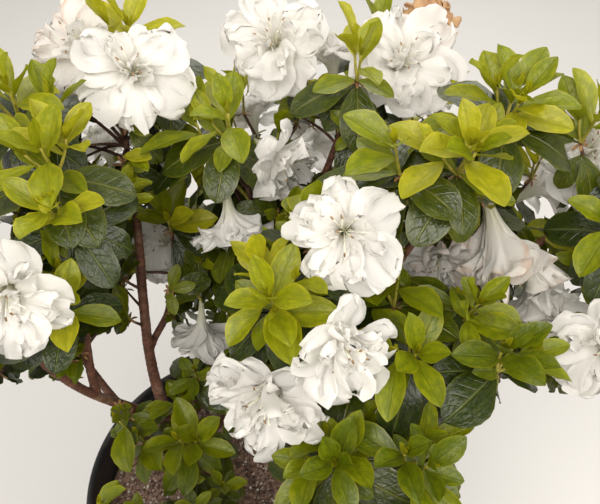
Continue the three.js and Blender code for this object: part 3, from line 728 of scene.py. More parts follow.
def bed_height(x, y):
    """The height of the mix's top, in millimetres: humps, a sunk edge, and flat where the trunk stands."""
    edge = np.clip((math.hypot(x, y) - 96) / BED_EDGE_WIDTH, 0, 1)
    hump = noise.noise(Vector((x, y, 0)) * 0.018) * 2.4 + noise.noise(Vector((x, y, 40)) * 0.07) * 1.2
    near_trunk = math.exp(-((x - TRUNK_FOOT.x) ** 2 + (y - TRUNK_FOOT.y) ** 2) / 700)
    sunk = MIX_EDGE_DROP * edge * edge * (3 - 2 * edge)
    return MIX_TOP - sunk + hump * (1 - near_trunk) + 0.8 * near_trunk - 0.6


bed_radius = pot_inner_radius(BED_EDGE_TOP) - 1.2
bed_foot = POT_FLOOR + SEAT_GAP
bed_rings = [(pot_inner_radius(bed_foot) - 4, bed_foot), (pot_inner_radius(bed_foot) - 1.5, bed_foot + 2),
             (pot_inner_radius(100) - 1.4, 100), (bed_radius, BED_EDGE_TOP - 3)]
bed_rings += [(bed_radius - 0.4 - RING_STEP * k, BED_EDGE_TOP) for k in range(BED_RINGS)]
bed = turned_shell("potting_mix_bed", bed_rings, BED_SIDES)
for vertex in bed.data.vertices:
    x, y, z = vertex.co / MM
    if z > BED_EDGE_TOP - 1:
        vertex.co = Vector((x, y, bed_height(x, y))) * MM
bed.data.shade_smooth()
print("bed faces", len(bed.data.polygons), "top at", round(max(v.co.z for v in bed.data.vertices), 4))

# %% [markdown]
# Grit and bark chips lie on the bed. Three chips are modelled once, each from a small sphere or cube that
# is flattened and made uneven, and are then copied over the bed by the hundred with a turn and a size of
# their own. Each colour is joined into one piece, because thousands of objects would be slow.

# %% Gather copies and join them
def join_piece(name, points, faces, finish, chart=None, smooth=True):
    """One mesh from arrays: points in millimetres, and faces that all have as many corners."""
    mesh = bpy.data.meshes.new(name)
    mesh.from_pydata((points * MM).tolist(), [], faces.tolist())
    if chart is not None:
        layer = mesh.uv_layers.new(name="OFBake")
        layer.uv.foreach_set("vector", chart[faces.ravel()].astype(np.float32).ravel())
    if smooth:
        mesh.shade_smooth()
    mesh.materials.append(finish)
    piece = bpy.data.objects.new(name, mesh)
    bpy.context.scene.collection.objects.link(piece)
    return piece


class Armful:
    """Blades, stems or grains of one kind, gathered up to be joined into one piece."""

    def __init__(self):
        self.points, self.faces, self.charts, self.count = [], [], [], 0

    def add(self, points, faces, chart=None):
        self.points.append(points)
        self.faces.append(faces + self.count)
        self.charts.append(chart)
        self.count += len(points)

    def join(self, name, finish, smooth=True):
        chart = None if self.charts[0] is None else np.concatenate(self.charts)
        points, faces = np.concatenate(self.points), np.concatenate(self.faces)
        return join_piece(name, points, faces, finish, chart, smooth)


print("copies are gathered in an", Armful.__name__)

# %% Model three grains
def grain_shape(flatness, unevenness, seed, cube=False):
    """The points and triangles of a small sphere or cube that is flattened and made uneven."""
    start_clean()
    if cube:
        bpy.ops.mesh.primitive_cube_add(size=1.2)
    else:
        bpy.ops.mesh.primitive_ico_sphere_add(subdivisions=1, radius=0.6)
    shape = bpy.context.object
    bpy.ops.object.mode_set(mode="EDIT")
    bpy.ops.mesh.select_all(action="SELECT")
    if cube:
        bpy.ops.mesh.bevel(offset=0.18, segments=1)
    bpy.ops.transform.resize(value=(1, 0.78, flatness))
    bpy.ops.transform.vertex_random(offset=unevenness, seed=seed)
    bpy.ops.object.mode_set(mode="OBJECT")
    shape.data.calc_loop_triangles()
    points = np.array([tuple(v.co) for v in shape.data.vertices])
    faces = np.array([tuple(t.vertices) for t in shape.data.loop_triangles])
    bpy.data.objects.remove(shape)
    return points, faces


GRAINS = {"long": grain_shape(0.62, 0.1, 3), "round": grain_shape(0.8, 0.12, 8),
          "chip": grain_shape(0.24, 0.06, 5, cube=True)}
print("faces of a grain", len(GRAINS["long"][1]))


# %% Strew them over the bed
def strew(kind, count, smallest, largest, seed):
    random = np.random.default_rng(seed)
    points, faces = GRAINS[kind]
    tilt, raised_share = (0.5, 0.1) if kind == "chip" else (3.0, 0.16)
    heap = Armful()
    for _ in range(count):
        reach = (bed_radius - 2.5) * math.sqrt(random.random())
        turn = random.random() * FULL_TURN
        x, y = reach * math.cos(turn), reach * math.sin(turn)
        if math.hypot(x - TRUNK_FOOT.x, y - TRUNK_FOOT.y) < FLARE_RADIUS * 0.9:
            continue
        size = smallest + (largest - smallest) * random.random() ** 2
        spin = Matrix.Rotation(random.random() * ANY_TURN, 3, "Z")
        spin = spin @ Matrix.Rotation(tilt * (random.random() - 0.5), 3, "X")
        lift = bed_height(x, y) + size * raised_share + 0.5 * random.random()
        heap.add(points @ np.array(spin).T * size + (x, y, lift), faces)
    return heap


def mix_finish(name, dark, light, roughness, scale):
    finish = new_finish(name, roughness)
    places = object_places(finish)
    tone = ramp(finish, speckle(finish, places, scale, 2), 0.32, 0.68)
    attach(finish, "Base Color", blended(finish, tone, dark, light))
    raised(finish, speckle(finish, places, 2600, 2), 0.0003, 0.5)
    return finish


# name: grain, count, smallest and largest in millimetres, seed, then dark, light, roughness and scale
GRITS = {
    "tan_grit": ("long", 2100, 1.5, 4.4, 11, (0.25, 0.155, 0.11), (0.5, 0.36, 0.28), 0.85, 420),
    "pale_grit": ("round", 1250, 1.3, 3.6, 12, (0.42, 0.35, 0.29), (0.68, 0.62, 0.55), 0.7, 500),
    "dark_grit": ("long", 1500, 1.4, 4.2, 13, (0.05, 0.032, 0.025), (0.17, 0.1, 0.072), 0.9, 400),
    "bark_chips": ("chip", 420, 3.5, 12.0, 14, (0.09, 0.05, 0.034), (0.27, 0.16, 0.105), 0.85, 240),
}
mix_pieces = [bed]
for name, (kind, count, smallest, largest, seed, *look) in GRITS.items():
    heap = strew(kind, count, smallest, largest, seed)
    mix_pieces.append(heap.join(f"mix_{name}", mix_finish(name, *look), False))
bed.data.materials.append(mix_finish("moist_mix", (0.1, 0.062, 0.045), (0.31, 0.2, 0.15), 0.95, 330))
for piece in mix_pieces:
    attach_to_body(piece, "root")
    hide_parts("potting_mix")
print("mix faces", sum(len(piece.data.polygons) for piece in mix_pieces))

# %% [markdown]
# ## Trunk and boughs under one skin of bark
# On a living plant a bough grows out of the trunk with no seam. Each limb is therefore added as a Bezier
# curve with a round section that tapers, all curves are made one mesh, and a voxel remesh melts them
# together. The bark's relief is then pushed into that skin: long shallow furrows that run with the limb,
# small swellings where leaves once stood, and a flare of low roots at the trunk's foot.

# %% Grow the limbs as curves and melt them into one mesh
SKIN_VOXEL = 1.25 * MM


def limb_tube(curve, first, last):
    start_clean()
    bpy.ops.curve.primitive_bezier_curve_add(location=(0, 0, 0))
    tube = bpy.context.object
    tube.data.dimensions = "3D"
    tube.data.bevel_depth = MM
    tube.data.bevel_resolution = 3
    tube.data.resolution_u = 26
    tube.data.use_fill_caps = True
    a, b, c, d = (knot * MM for knot in curve.knots)
    start, end = tube.data.splines[0].bezier_points
    ends = ((start, a, a * 2 - b, b, first), (end, d, c, d * 2 - c, last))
    for point, place, before, after, radius in ends:
        point.handle_left_type = point.handle_right_type = "FREE"
        point.co, point.handle_left, point.handle_right, point.radius = place, before, after, radius
    return tube


wood = list(limbs.items()) + [("stem", (stem, TIP_RADIUS, STEM_END_RADIUS)) for stem, _ in stems.values()]
tubes = [limb_tube(*limb) for _, limb in wood]
start_clean()
for tube in tubes:
    tube.select_set(True)
bpy.context.view_layer.objects.active = tubes[0]
bpy.ops.object.convert(target="MESH")
bpy.ops.object.join()
bark = bpy.context.object
bark.name = "bark_of_trunk_and_boughs"
apply_modifier(bark, "REMESH", mode="VOXEL", voxel_size=SKIN_VOXEL, use_smooth_shade=True)
apply_modifier(bark, "SMOOTH", factor=0.5, iterations=3)
print("bark faces", len(bark.data.polygons))

# %% Sample the middle lines of the wood
SPINE_STEPS = 40
spines = KDTree(len(wood) * (SPINE_STEPS + 1))
spine_facts = []
for number, (kind, (curve, _, _)) in enumerate(wood):
    travelled, before = 0.0, curve.at(0)
    for step in range(SPINE_STEPS + 1):
        point = curve.at(step / SPINE_STEPS)
        travelled += (point - before).length
        before = point
        spines.insert(point, len(spine_facts))
        spine_facts.append((kind == "trunk", number, step / SPINE_STEPS, travelled, point))
spines.balance()
print("samples on the middle lines", len(spine_facts))


# %% Press the bark's relief into it
RING_SPACING = 19
ROOT_SHARE = 0.34
ROOT_REACH = 5.2


def bark_depth(place, around, number, travelled, on_trunk):
    """How far the bark stands out here: furrows along the limb, flakes, and rings on the branches."""
    along = Vector((around.x * 2.6, around.y * 2.6, around.z * 2.6 + travelled * 0.055 + number * 9))
    furrow = noise.noise(along) + 0.5 * noise.noise(along * 2.3 + Vector((7, 0, 0)))
    flake = noise.noise(place * 0.3) * noise.noise(place * 0.8)
    if on_trunk:
        return 0.62 * furrow + 0.35 * flake
    shift = 4 * noise.noise(Vector((number, travelled * 0.02, 0)))
    ring = math.exp(-(((travelled + shift) % RING_SPACING - RING_SPACING / 2) / 1.3) ** 2)
    return 0.3 * furrow + 0.35 * flake + 0.22 * ring


def root_lobe(off, share):
    """How far the trunk's foot spreads towards its low roots."""
    turn = math.atan2(off.y, off.x)
    lobes = 1 + 0.32 * math.cos(5 * turn + 0.8) + 0.18 * math.cos(3 * turn + 2.1)
    flare = (FLARE_RADIUS - TRUNK_RADIUS) * max(0, 1 - share / ROOT_SHARE) ** 2 * lobes
    return min(flare, ROOT_REACH)


corner_count = len(bark.data.vertices)
skin_places, skin_normals = np.empty(corner_count * 3), np.empty(corner_count * 3, np.float32)
bark.data.vertices.foreach_get("co", skin_places)
bark.data.vertex_normals.foreach_get("vector", skin_normals)
skin_places, skin_normals = skin_places.reshape(-1, 3) / MM, skin_normals.reshape(-1, 3)
relief_depths = []
for row, normal in enumerate(skin_normals.tolist()):
    place = Vector(skin_places[row])
    _, index, _ = spines.find(place)
    on_trunk, number, share, travelled, middle = spine_facts[index]
    off = place - middle
    around = off.normalized()
    depth = bark_depth(place, around, number, travelled, on_trunk)
    if on_trunk:
        place += Vector((around.x, around.y, 0)) * root_lobe(off, share)
    place += Vector(normal) * depth
    if on_trunk and place.z < MIX_TOP + 1.5:
        place.z = min(place.z, MIX_TOP + SEAT_GAP)
    skin_places[row] = place
    relief_depths.append(depth)
bark.data.vertices.foreach_set("co", (skin_places * MM).ravel())
layer = bark.data.attributes.new("relief", "FLOAT", "POINT")
layer.data.foreach_set("value", np.array(relief_depths, np.float32))
bark.data.shade_smooth()
print("relief from", round(min(relief_depths), 2), "to", round(max(relief_depths), 2), "mm")

# %% [markdown]
# Young azalea bark is red-brown and almost smooth, greyer on the trunk, with pale dots. The relief is kept
# as an attribute of the mesh, and the furrows are painted darker just where they are deep: painted shade.

# %% Finish the bark
# The darkest bark colour is painted shade, laid into the deep furrows.
FURROW_PAINTED_SHADE = (0.05, 0.02, 0.012)
RED_BROWN = (0.235, 0.092, 0.054)
WORN_GREY = (0.27, 0.155, 0.1)
PALE_DOTS = (0.34, 0.25, 0.17)


def bark_finish(name, deep, plain, worn, relief=True):
    finish = new_finish(name, 0.72)
    places = object_places(finish)
    streaks = speckle(finish, places, 130, 5, 0.6)
    if relief:
        # Low relief turns the colour to the deep one: painted shade in the furrows, mixed with random streaks
        # of tone.
        depth = wire(finish, "ShaderNodeAttribute", attribute_name="relief").outputs["Fac"]
        shade = ramp(finish, sums(finish, "ADD", depth, streaks), 0.1, 0.95)
    else:
        shade = ramp(finish, streaks, 0.3, 0.7)
    base = blended(finish, shade, deep, plain)
    patches = ramp(finish, speckle(finish, places, 46, 4, 0.6), 0.52, 0.7)
    base = blended(finish, patches, base, worn)
    dots = wire(finish, "ShaderNodeTexVoronoi", {"Vector": places, "Scale": 520.0}).outputs["Distance"]
    attach(finish, "Base Color", blended(finish, ramp(finish, dots, 0.16, 0.1), base, PALE_DOTS))
    raised(finish, speckle(finish, places, 620, 4, 0.6), 0.0005, 0.6)
    return finish


bark.data.materials.append(bark_finish("red_brown_bark", FURROW_PAINTED_SHADE, RED_BROWN, WORN_GREY))
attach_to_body(bark, "root")
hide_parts("trunk", *LIMBS)
print("bark finish", bark.data.materials[0].name)

# %% [markdown]
# ## Blanks for leaves and petals
# A leaf is modelled once, flat and of unit size, as a narrow strip whose far edge is extruded on from
# station to station and widened or narrowed to the outline. Old leaves are blunt and young ones pointed.
# Petals start as such blanks too. Each copy is later bent to its own droop, fold and ruffle, which is
# why the blanks stay flat: their across and forward shares also give each copy its chart for veins.

# %% Model a blank
OUT_OF_WOOD = 0.17


class Blank:
    """A flat blade: places across and forward, the share of its half width, and its faces."""

    def __init__(self, columns, stations):
        start_clean()
        (first, narrow), (second, wider) = stations[:2]
        bpy.ops.mesh.primitive_grid_add(x_subdivisions=columns, y_subdivisions=1, size=1)
        piece = bpy.context.object
        bpy.ops.object.mode_set(mode="EDIT")
        bpy.ops.mesh.select_mode(type="VERT")
        bpy.ops.mesh.select_all(action="SELECT")
        bpy.ops.transform.resize(value=(wider, second - first, 1))
        bpy.ops.transform.translate(value=(0, (first + second) / 2, 0))
        self.pick_row(piece, first)
        bpy.ops.transform.resize(value=(narrow / wider, 1, 1))
        self.pick_row(piece, second)
        for (reached, width), (following, next_width) in zip(stations[1:], stations[2:]):
            step = (0, following - reached, 0)
            bpy.ops.mesh.extrude_edges_move(TRANSFORM_OT_translate={"value": step})
            bpy.ops.transform.resize(value=(next_width / width, 1, 1))
        bpy.ops.object.mode_set(mode="OBJECT")
        corners = np.array([tuple(v.co) for v in piece.data.vertices])
        self.across, self.forward = corners[:, 0], corners[:, 1].clip(0, 1)
        self.faces = np.array([tuple(p.vertices) for p in piece.data.polygons])
        places, widths = zip(*stations)
        self.share = (2 * self.across / np.interp(self.forward, places, widths)).clip(-1, 1)
        self.beyond = self.faces[(self.forward[self.faces] > OUT_OF_WOOD).all(1)].tolist()
        lines = (abs(self.share) > 0.9) | (abs(self.share) < 0.1)
        self.spots = np.where(lines & (self.forward > 0.2))[0][::2]
        bpy.data.objects.remove(piece)

    @staticmethod
    def pick_row(piece, forward):
        cage = bmesh.from_edit_mesh(piece.data)
        for corner in cage.verts:
            corner.select = abs(corner.co.y - forward) < 1e-5
        cage.select_flush_mode()
        bmesh.update_edit_mesh(piece.data)

    def chart(self, tile):
        """The blade's place in one quarter of a square chart, which every blade of a piece shares."""
        inside = np.column_stack([(self.share + 1) / 2, self.forward]) * 0.96 + 0.02
        return (inside + (tile % 2, tile // 2)) / 2


# %% Outlines of the leaves and petals, as shares of their length and of their greatest width
BLUNT_LEAF = Blank(4, [(0, 0.07), (0.07, 0.1), (0.15, 0.32), (0.27, 0.65), (0.41, 0.9), (0.55, 1),
                       (0.69, 0.97), (0.81, 0.82), (0.91, 0.56), (0.97, 0.28), (1, 0.04)])
POINTED_LEAF = Blank(4, [(0, 0.09), (0.07, 0.13), (0.18, 0.4), (0.32, 0.72), (0.47, 0.94), (0.61, 1),
                         (0.75, 0.87), (0.87, 0.6), (0.95, 0.3), (1, 0.04)])
BABY_LEAF = Blank(2, [(0, 0.3), (0.3, 0.85), (0.6, 1), (0.85, 0.6), (1, 0.08)])
OUTER_PETAL = Blank(24, [(0, 0.82), (0.12, 0.82), (0.25, 0.84), (0.36, 0.88), (0.46, 0.93), (0.55, 0.98),
                         (0.64, 1), (0.72, 0.98), (0.79, 0.92), (0.86, 0.82), (0.92, 0.68), (0.96, 0.52),
                         (1, 0.26)])
INNER_PETAL = Blank(18, [(0, 0.66), (0.16, 0.7), (0.3, 0.78), (0.42, 0.88), (0.54, 0.97), (0.65, 1),
                         (0.75, 0.96), (0.84, 0.85), (0.91, 0.68), (0.96, 0.48), (1, 0.22)])
PETALOID = Blank(8, [(0, 0.34), (0.2, 0.42), (0.4, 0.62), (0.58, 0.88), (0.72, 1), (0.84, 0.88), (0.93, 0.6),
                     (1, 0.24)])
print("faces of a blunt leaf", len(BLUNT_LEAF.faces), "and of an outer petal", len(OUTER_PETAL.faces))

# %% [markdown]
# ## Bending a blank into a leaf
# A leaf leaves its twig in a direction, folds up a little on both sides of its midrib, bends down towards
# its tip and may twist. The bend follows an arc, so that the leaf keeps its length.

# %% Bend a leaf
def bent_leaf(blank, root, along, up, length, width, droop, fold, cup=0.0, twist=0.0, wave=0.0, phase=0.0):
    """The points of a leaf: droop and twist in radians, fold and cup as slopes, wave in millimetres."""
    along = np.array(along)
    side = np.cross(along, np.array(up))
    side /= np.linalg.norm(side)
    face = np.cross(side, along)
    droop = droop if abs(droop) > 1e-3 else 1e-3
    bend = droop * blank.forward[:, None]
    run = np.sin(bend) / droop * length
    fall = (1 - np.cos(bend)) / droop * length
    normal = face * np.cos(bend) + along * np.sin(bend)
    roll = twist * blank.forward[:, None]
    sideways = side * np.cos(roll) + normal * np.sin(roll)
    normal = normal * np.cos(roll) - side * np.sin(roll)
    share = blank.share[:, None]
    off = blank.across[:, None] * width
    ripple = wave * np.sin(blank.forward[:, None] * 15 + phase + share * 2) * share**2
    lift = abs(off) * fold + cup * width * (2 * off / width) ** 2 + ripple
    return np.array(root) + along * run - face * fall + sideways * off + normal * lift


def stem_tube(curve, first, last, sides, steps, start=0.0, end=1.0):
    """The points and faces of a tapering tube along part of a curve, closed at its far end."""
    rings, side = [], None
    turns = np.arange(sides) * 2 * np.pi / sides
    for step in range(steps + 1):
        share = start + (end - start) * step / steps
        along = curve.heading(share)
        side = across_axis(along)[0] if side is None else (side - along * side.dot(along)).normalized()
        other = along.cross(side)
        radius = first + (last - first) * step / steps
        around = np.outer(np.cos(turns), side) + np.outer(np.sin(turns), other)
        rings.append(np.array(curve.at(share)) + radius * around)
    low = np.arange(sides)
    wall = np.column_stack([low, (low + 1) % sides, (low + 1) % sides + sides, low + sides])
    faces = np.concatenate([wall + sides * step for step in range(steps)])
    top = sides * steps
    caps = [(top, top + k, top + k + 1, top + k + 2) for k in range(1, sides - 2, 2)]
    return np.concatenate(rings), np.concatenate([faces, np.array(caps)])


flat_leaf = bent_leaf(BLUNT_LEAF, Vector((0, 0, 0)), Vector((0, 1, 0)), UP, 50, 25, droop=0, fold=0)
print("a flat leaf of 50 by 25 mm spans", np.ptp(flat_leaf, axis=0).round(1).tolist(), "mm")

# %% [markdown]
# ## Keeping leaves out of each other
# Leaves that cut through each other or through a petal look wrong from close by. Everything grown is
# kept in a thicket of small search trees, sorted into boxes of air. A new blade is tested against what is
# near it, and it is turned, shrunk or left out where it would cut through something.

# %% The thicket
BOX_OF_AIR = 25.0
WOOD_GAP = 0.2
PAST_SOLIDS = 6
lowest = np.array(solids_box[0]) / MM - PAST_SOLIDS
highest = np.array(solids_box[1]) / MM + PAST_SOLIDS


def outside_box(points):
    return bool((points < lowest).any() or (points > highest).any())


class Thicket:
    """Search trees of all that has grown, each listed in every box of air that it reaches into."""

    def __init__(self):
        self.boxes, self.count = {}, 0

    @staticmethod
    def tree_of(points, faces):
        """A search tree, the box round it, and the boxes of air that it reaches into."""
        low, high = points.min(0), points.max(0)
        first, last = ((end // BOX_OF_AIR).astype(int).tolist() for end in (low, high))
        reached = (range(start, stop + 1) for start, stop in zip(first, last))
        keys = list(itertools.product(*reached))
        return BVHTree.FromPolygons(points.tolist(), faces), low.tolist() + high.tolist(), keys

    def meets(self, made):
        tree, (ax, ay, az, bx, by, bz), keys = made
        tried = set()
        for key in keys:
            for number, other, (cx, cy, cz, dx, dy, dz) in self.boxes.get(key, ()):
                apart = cx >= bx or ax >= dx or cy >= by or ay >= dy or cz >= bz or az >= dz
                if apart or number in tried:
                    continue
                tried.add(number)
                if tree.overlap(other):
                    return True
        return False

    def keep(self, made):
        self.count += 1
        for key in made[2]:
            self.boxes.setdefault(key, []).append((self.count, made[0], made[1]))


thicket = Thicket()
heaps = {}


def heap_of(kind):
    return heaps.setdefault(kind, Armful())


def put_leaf(kind, blank, points, tile, open_share):
    """Adds the leaf if it is free of wood, of what has grown and of the sight lines."""
    spots = points[blank.spots]
    if outside_box(spots) or not clear_of_wood(spots, WOOD_GAP):
        return False
    if blocks_view(spots, open_share):
        return False
    made = thicket.tree_of(points, blank.beyond)
    if thicket.meets(made):
        return False
    thicket.keep(made)
    heap_of(kind).add(points, blank.faces, blank.chart(tile))
    return True


print("leaves keep inside", lowest.round().tolist(), highest.round().tolist(), "mm")

# %% [markdown]
# ## A double bloom
# A double azalea flower is one funnel set in another, with a crumpled tuft of half-turned stamens in the
# throat. Each petal blank is wrapped round a funnel. Its middle line leaves the throat nearly along the
# axis and bends outwards lobe by lobe, its across share is an angle round the axis, and its own normal
# carries the ruffles, pleats and rolled edges. No two petals are alike. A stalk, a calyx and a few
# stamens complete it.

# %% The three rings of petals
SLOPE_STATIONS = (0, 0.28, 0.4, 0.5, 0.62, 0.8, 1)


class Funnel:
    """One ring of petals. Slopes are degrees from the axis at the stations along a petal."""

    def __init__(self, blank, count, start, length, foot, slopes, half, ruffle, waves, play):
        self.blank, self.count, self.start, self.length, self.foot = blank, count, start, length, foot
        self.slopes, self.half, self.ruffle, self.waves, self.play = slopes, half, ruffle, waves, play


FUNNELS = {
    "outer": Funnel(OUTER_PETAL, count=5, start=0.0, length=57, foot=35, slopes=(3, 10, 24, 44, 70, 84, 94),
                    half=45, ruffle=3.4, waves=3.4, play=17),
    "inner": Funnel(INNER_PETAL, count=6, start=0.6, length=48, foot=32, slopes=(3, 8, 18, 32, 50, 60, 62),
                    half=40, ruffle=3.9, waves=3.8, play=24),
    "tuft": Funnel(PETALOID, count=7, start=0.3, length=37, foot=27, slopes=(3, 6, 12, 22, 34, 40, 22),
                   half=42, ruffle=2.8, waves=3.0, play=34),
}
print("petals in a bloom", sum(funnel.count for funnel in FUNNELS.values()))

# %% Bend a petal
PROFILE_STEPS = 32
THROAT_RADIUS = 1.9
SAG = 2.6


def petal_profile(funnel, draw, size, wilt, bell):
    """Along a petal's middle line: the shares, the reach from the axis, the height and the slope."""
    long = funnel.length * size * (0.88 + 0.2 * draw())
    lean, curl = funnel.play * (draw() - 0.5) * 1.6, funnel.play * (draw() - 0.5) * 2.2
    steps = np.linspace(0, 1, PROFILE_STEPS + 1)
    beyond = np.clip((steps - 0.38) / 0.62, 0, 1)
    slope = np.interp(steps, SLOPE_STATIONS, funnel.slopes) + lean * beyond**0.6 + (curl + wilt) * beyond**2
    slope = np.radians(slope - bell * beyond**0.8)
    between = (slope[1:] + slope[:-1]) / 2
    radius = THROAT_RADIUS * size + np.concatenate([[0], np.cumsum(np.sin(between))]) * long / PROFILE_STEPS
    height = np.concatenate([[0], np.cumsum(np.cos(between))]) * long / PROFILE_STEPS - funnel.foot * size
    return steps, radius, height, slope


def crumple(across, forward, own):
    coarse = noise.noise(Vector((across * 2.1, forward * 2.8, 0)) + own)
    return coarse + 0.3 * noise.noise(Vector((across * 5.5, forward * 6.5, 9)) + own)


def wrapped_petal(funnel, mouth, bearings, turn, draw, size, wilt, bell):
    """The points of one petal: its blank is wrapped round the funnel, then ruffled along its own normal."""
    axis, side, other = bearings
    s, w = funnel.blank.forward, funnel.blank.share
    steps, reach, rise, slopes = petal_profile(funnel, draw, size, wilt, bell)

    # A ragged tip: each strip of the petal ends a little sooner or later
    ragged = 1 + 0.07 * math.sin(ANY_TURN * draw()) * np.sin(w * 4.2)
    ragged = ragged + 0.05 * np.sin(w * (9 + 4 * draw()) + ANY_TURN * draw())
    ragged += 0.02 * np.sin(w * 23 + ANY_TURN * draw())
    reached = np.clip(s * np.where(s > 0.5, 1 + (ragged - 1) * (s - 0.5) * 2, 1), 0, 1.06)
    radius = np.interp(reached, steps, reach)
    height = np.interp(reached, steps, rise)
    tilt = np.interp(reached, steps, slopes)

    # Ruffles of four lengths round the margin, which grow on a bloom that hangs half open
    free = np.clip((s - 0.34) / 0.5, 0, 1)
    margin = np.maximum(abs(w) ** 2.2 * free, np.clip((s - 0.62) / 0.38, 0, 1) ** 1.2)
    rim = np.arctan2(w, s - 0.3)
    waves = funnel.waves * (0.8 + 0.5 * draw())
    first, second, third = ANY_TURN * draw(), ANY_TURN * draw(), ANY_TURN * draw()
    wave = np.sin(rim * waves + first) + 0.55 * np.sin(rim * waves * 2.1 + second)
    wave = wave + 0.42 * np.sin(rim * waves * 4.1 + third)
    ruffle = funnel.ruffle * size
    off = ruffle * margin * wave * (0.75 + 0.5 * draw()) * (1 + bell / 45)
    off += 0.25 * ruffle * margin**3 * np.sin(rim * waves * 6.6 + first)

    # Pleats along the petal, sides that roll in or out, one side over the next, and crumples
    off += size * free * (0.9 * np.sin(w * (6 + 3 * draw()) + third) * (1 - 0.5 * abs(w)) + 1.6 * w)
    off += size * (draw() - 0.62) * 4.5 * abs(w) ** 2.6 * free
    off += size * (draw() - 0.5) * 6 * w * free**2
    own = Vector((40 * draw(), 40 * draw(), 40 * draw()))
    crumples = np.array([crumple(a, b, own) for a, b in zip(w.tolist(), s.tolist())])
    off += size * (0.4 + 1.6 * free) * crumples * funnel.ruffle / 3.4

    # The wrap: the across share is an angle round the axis
    spread = math.radians(funnel.half) * (0.9 + 0.2 * draw())
    angle = turn + 2 * funnel.blank.across * spread + 0.12 * margin * np.sin(rim * waves * 1.6 + second)
    angle = angle + (draw() - 0.5) * 0.5 * free**2
    ways = np.outer(np.cos(angle), side) + np.outer(np.sin(angle), other)
    radius, height = np.maximum(radius - off * np.cos(tilt), 0.7), height + off * np.sin(tilt)
    points = np.array(mouth) + np.outer(height, axis) + ways * radius[:, None]
    points[:, 2] -= SAG * size * free**2
    return points


first_axes = tuple(np.array(v) for v in (UP, *across_axis(UP)))
first_petal = wrapped_petal(FUNNELS["outer"], Vector((0, 0, 0)), first_axes, 0, number_stream(5), 1.0, 0, 0)
print("one outer petal spans", np.ptp(first_petal, axis=0).round(1).tolist(), "mm")

# %% Grow a bloom on its stalk
STAMENS = 7
CALYX_LOBES = 5
CALYX_TURN = 1.257
SPENT_WILT = 55


def grow_petals(age, mouth, bearings, draw, size, bell):
    wilt = SPENT_WILT if age == "spent" else 0
    uneven = 1 + bell / 30
    for kind, funnel in FUNNELS.items():
        tuft = kind == "tuft"
        for k in range(funnel.count):
            turn = funnel.start + FULL_TURN * (k + 0.3 * (draw() - 0.5)) / funnel.count
            grown = size * (0.7 + 0.5 * draw() if tuft else 1 - 0.06 * uneven + 0.12 * uneven * draw())
            closing = -(45 + 40 * draw()) if tuft and k % 2 else 0
            wilting = wilt * (draw() - 0.3) + closing
            points = wrapped_petal(funnel, mouth, bearings, turn, draw, grown, wilting, bell)
            chart = funnel.blank.chart(int(draw() * 4))
            heap_of(f"petals_{age}_{kind}").add(points, funnel.blank.faces, chart)
            if not tuft:
                thicket.keep(thicket.tree_of(points, funnel.blank.beyond))


def grow_stamens(mouth, axis, draw, size):
    """One long pistil and shorter stamens, each with its pollen sac."""
    for k in range(STAMENS):
        pistil, turn = k == 0, k * GOLDEN_ANGLE
        lean = 0.12 + 0.3 * draw()
        start = mouth - axis * 22 * size
        long = (34 if pistil else 24 + 8 * draw()) * size
        end = start + leaning(axis, lean, turn) * long
        thread = Bow(start, axis, end, leaning(axis, lean * 1.8, turn))
        heap_of("stamens").add(*stem_tube(thread, 0.5, 0.34, 4, 4))
        sac_end = end + leaning(axis, lean + 0.9, turn) * (1.2 if pistil else 2.1)
        sac = Bow(end, thread.heading(1), sac_end, UP)
        heap_of("stamens" if pistil else "pollen_sacs").add(*stem_tube(sac, 0.7, 0.55, 4, 2))


def grow_bloom(root, leave, mouth, axis, draw, age, size, bell=0):
    side, other = across_axis(axis)
    spin = draw() * ANY_TURN
    turned_side = side * math.cos(spin) + other * math.sin(spin)
    turned_other = other * math.cos(spin) - side * math.sin(spin)
    bearings = tuple(np.array(way) for way in (axis, turned_side, turned_other))
    grow_petals(age, mouth, bearings, draw, size, bell)
    grow_stamens(mouth, axis, draw, size)
    foot = mouth - axis * 0.5 * BLOOM_DIAMETER * size
    stalk = Bow(root, leave, foot, axis, 0.3)
    heap_of("green_stems").add(*stem_tube(stalk, 1.15, 1.7 * size, 6, 7))
    for k in range(CALYX_LOBES):
        way = leaning(axis, 0.3 + 0.25 * draw(), spin + k * CALYX_TURN)
        long, wide = 10 * size, 4.6 * size
        lobe = bent_leaf(BABY_LEAF, foot - axis * 0.6, way, -axis, long, wide, droop=0.5, fold=-0.2)
        heap_of("calyx_lobes").add(lobe, BABY_LEAF.faces, BABY_LEAF.chart(k % 4))


# %% [markdown]
# A bloom is named by its mass and its number there. Some are larger or smaller than the others, three have
# brown edges, and those that hang are only half open. One bloom at the back of the crown is spent.

# %% Grow the blooms
PETAL_SIZE = BLOOM_DIAMETER / 68
BLUSHED = {("right_hanging", 0), ("rear_left_crest", 0), ("right_hanging", 2)}
SIZES = {
    ("right_hanging", 0): 1.16, ("right_hanging", 1): 1.08, ("centre", 2): 1.17, ("rear_crest", 0): 1.16,
    ("rear_crest", 1): 1.2, ("rear_left_crest", 0): 1.12, ("inner_left", 1): 0.84, ("rear_middle", 1): 0.92,
}
# Faced a little further to the right than in the solids, as azimuth and elevation
TURNED = {("centre", 1): (-64, 14)}
# How many degrees the petals of a half-open bloom stay short of flat
BELLS = {("right_hanging", 0): 55, ("right_hanging", 1): 34, ("inner_left", 1): 26, ("rear_middle", 1): 20}
SPENT_MOUTH = Vector((172, 222, 598))
SPENT_LEAVE = Vector((0.4, 0.3, 0.8)).normalized()
SPENT_SIZE = 0.74

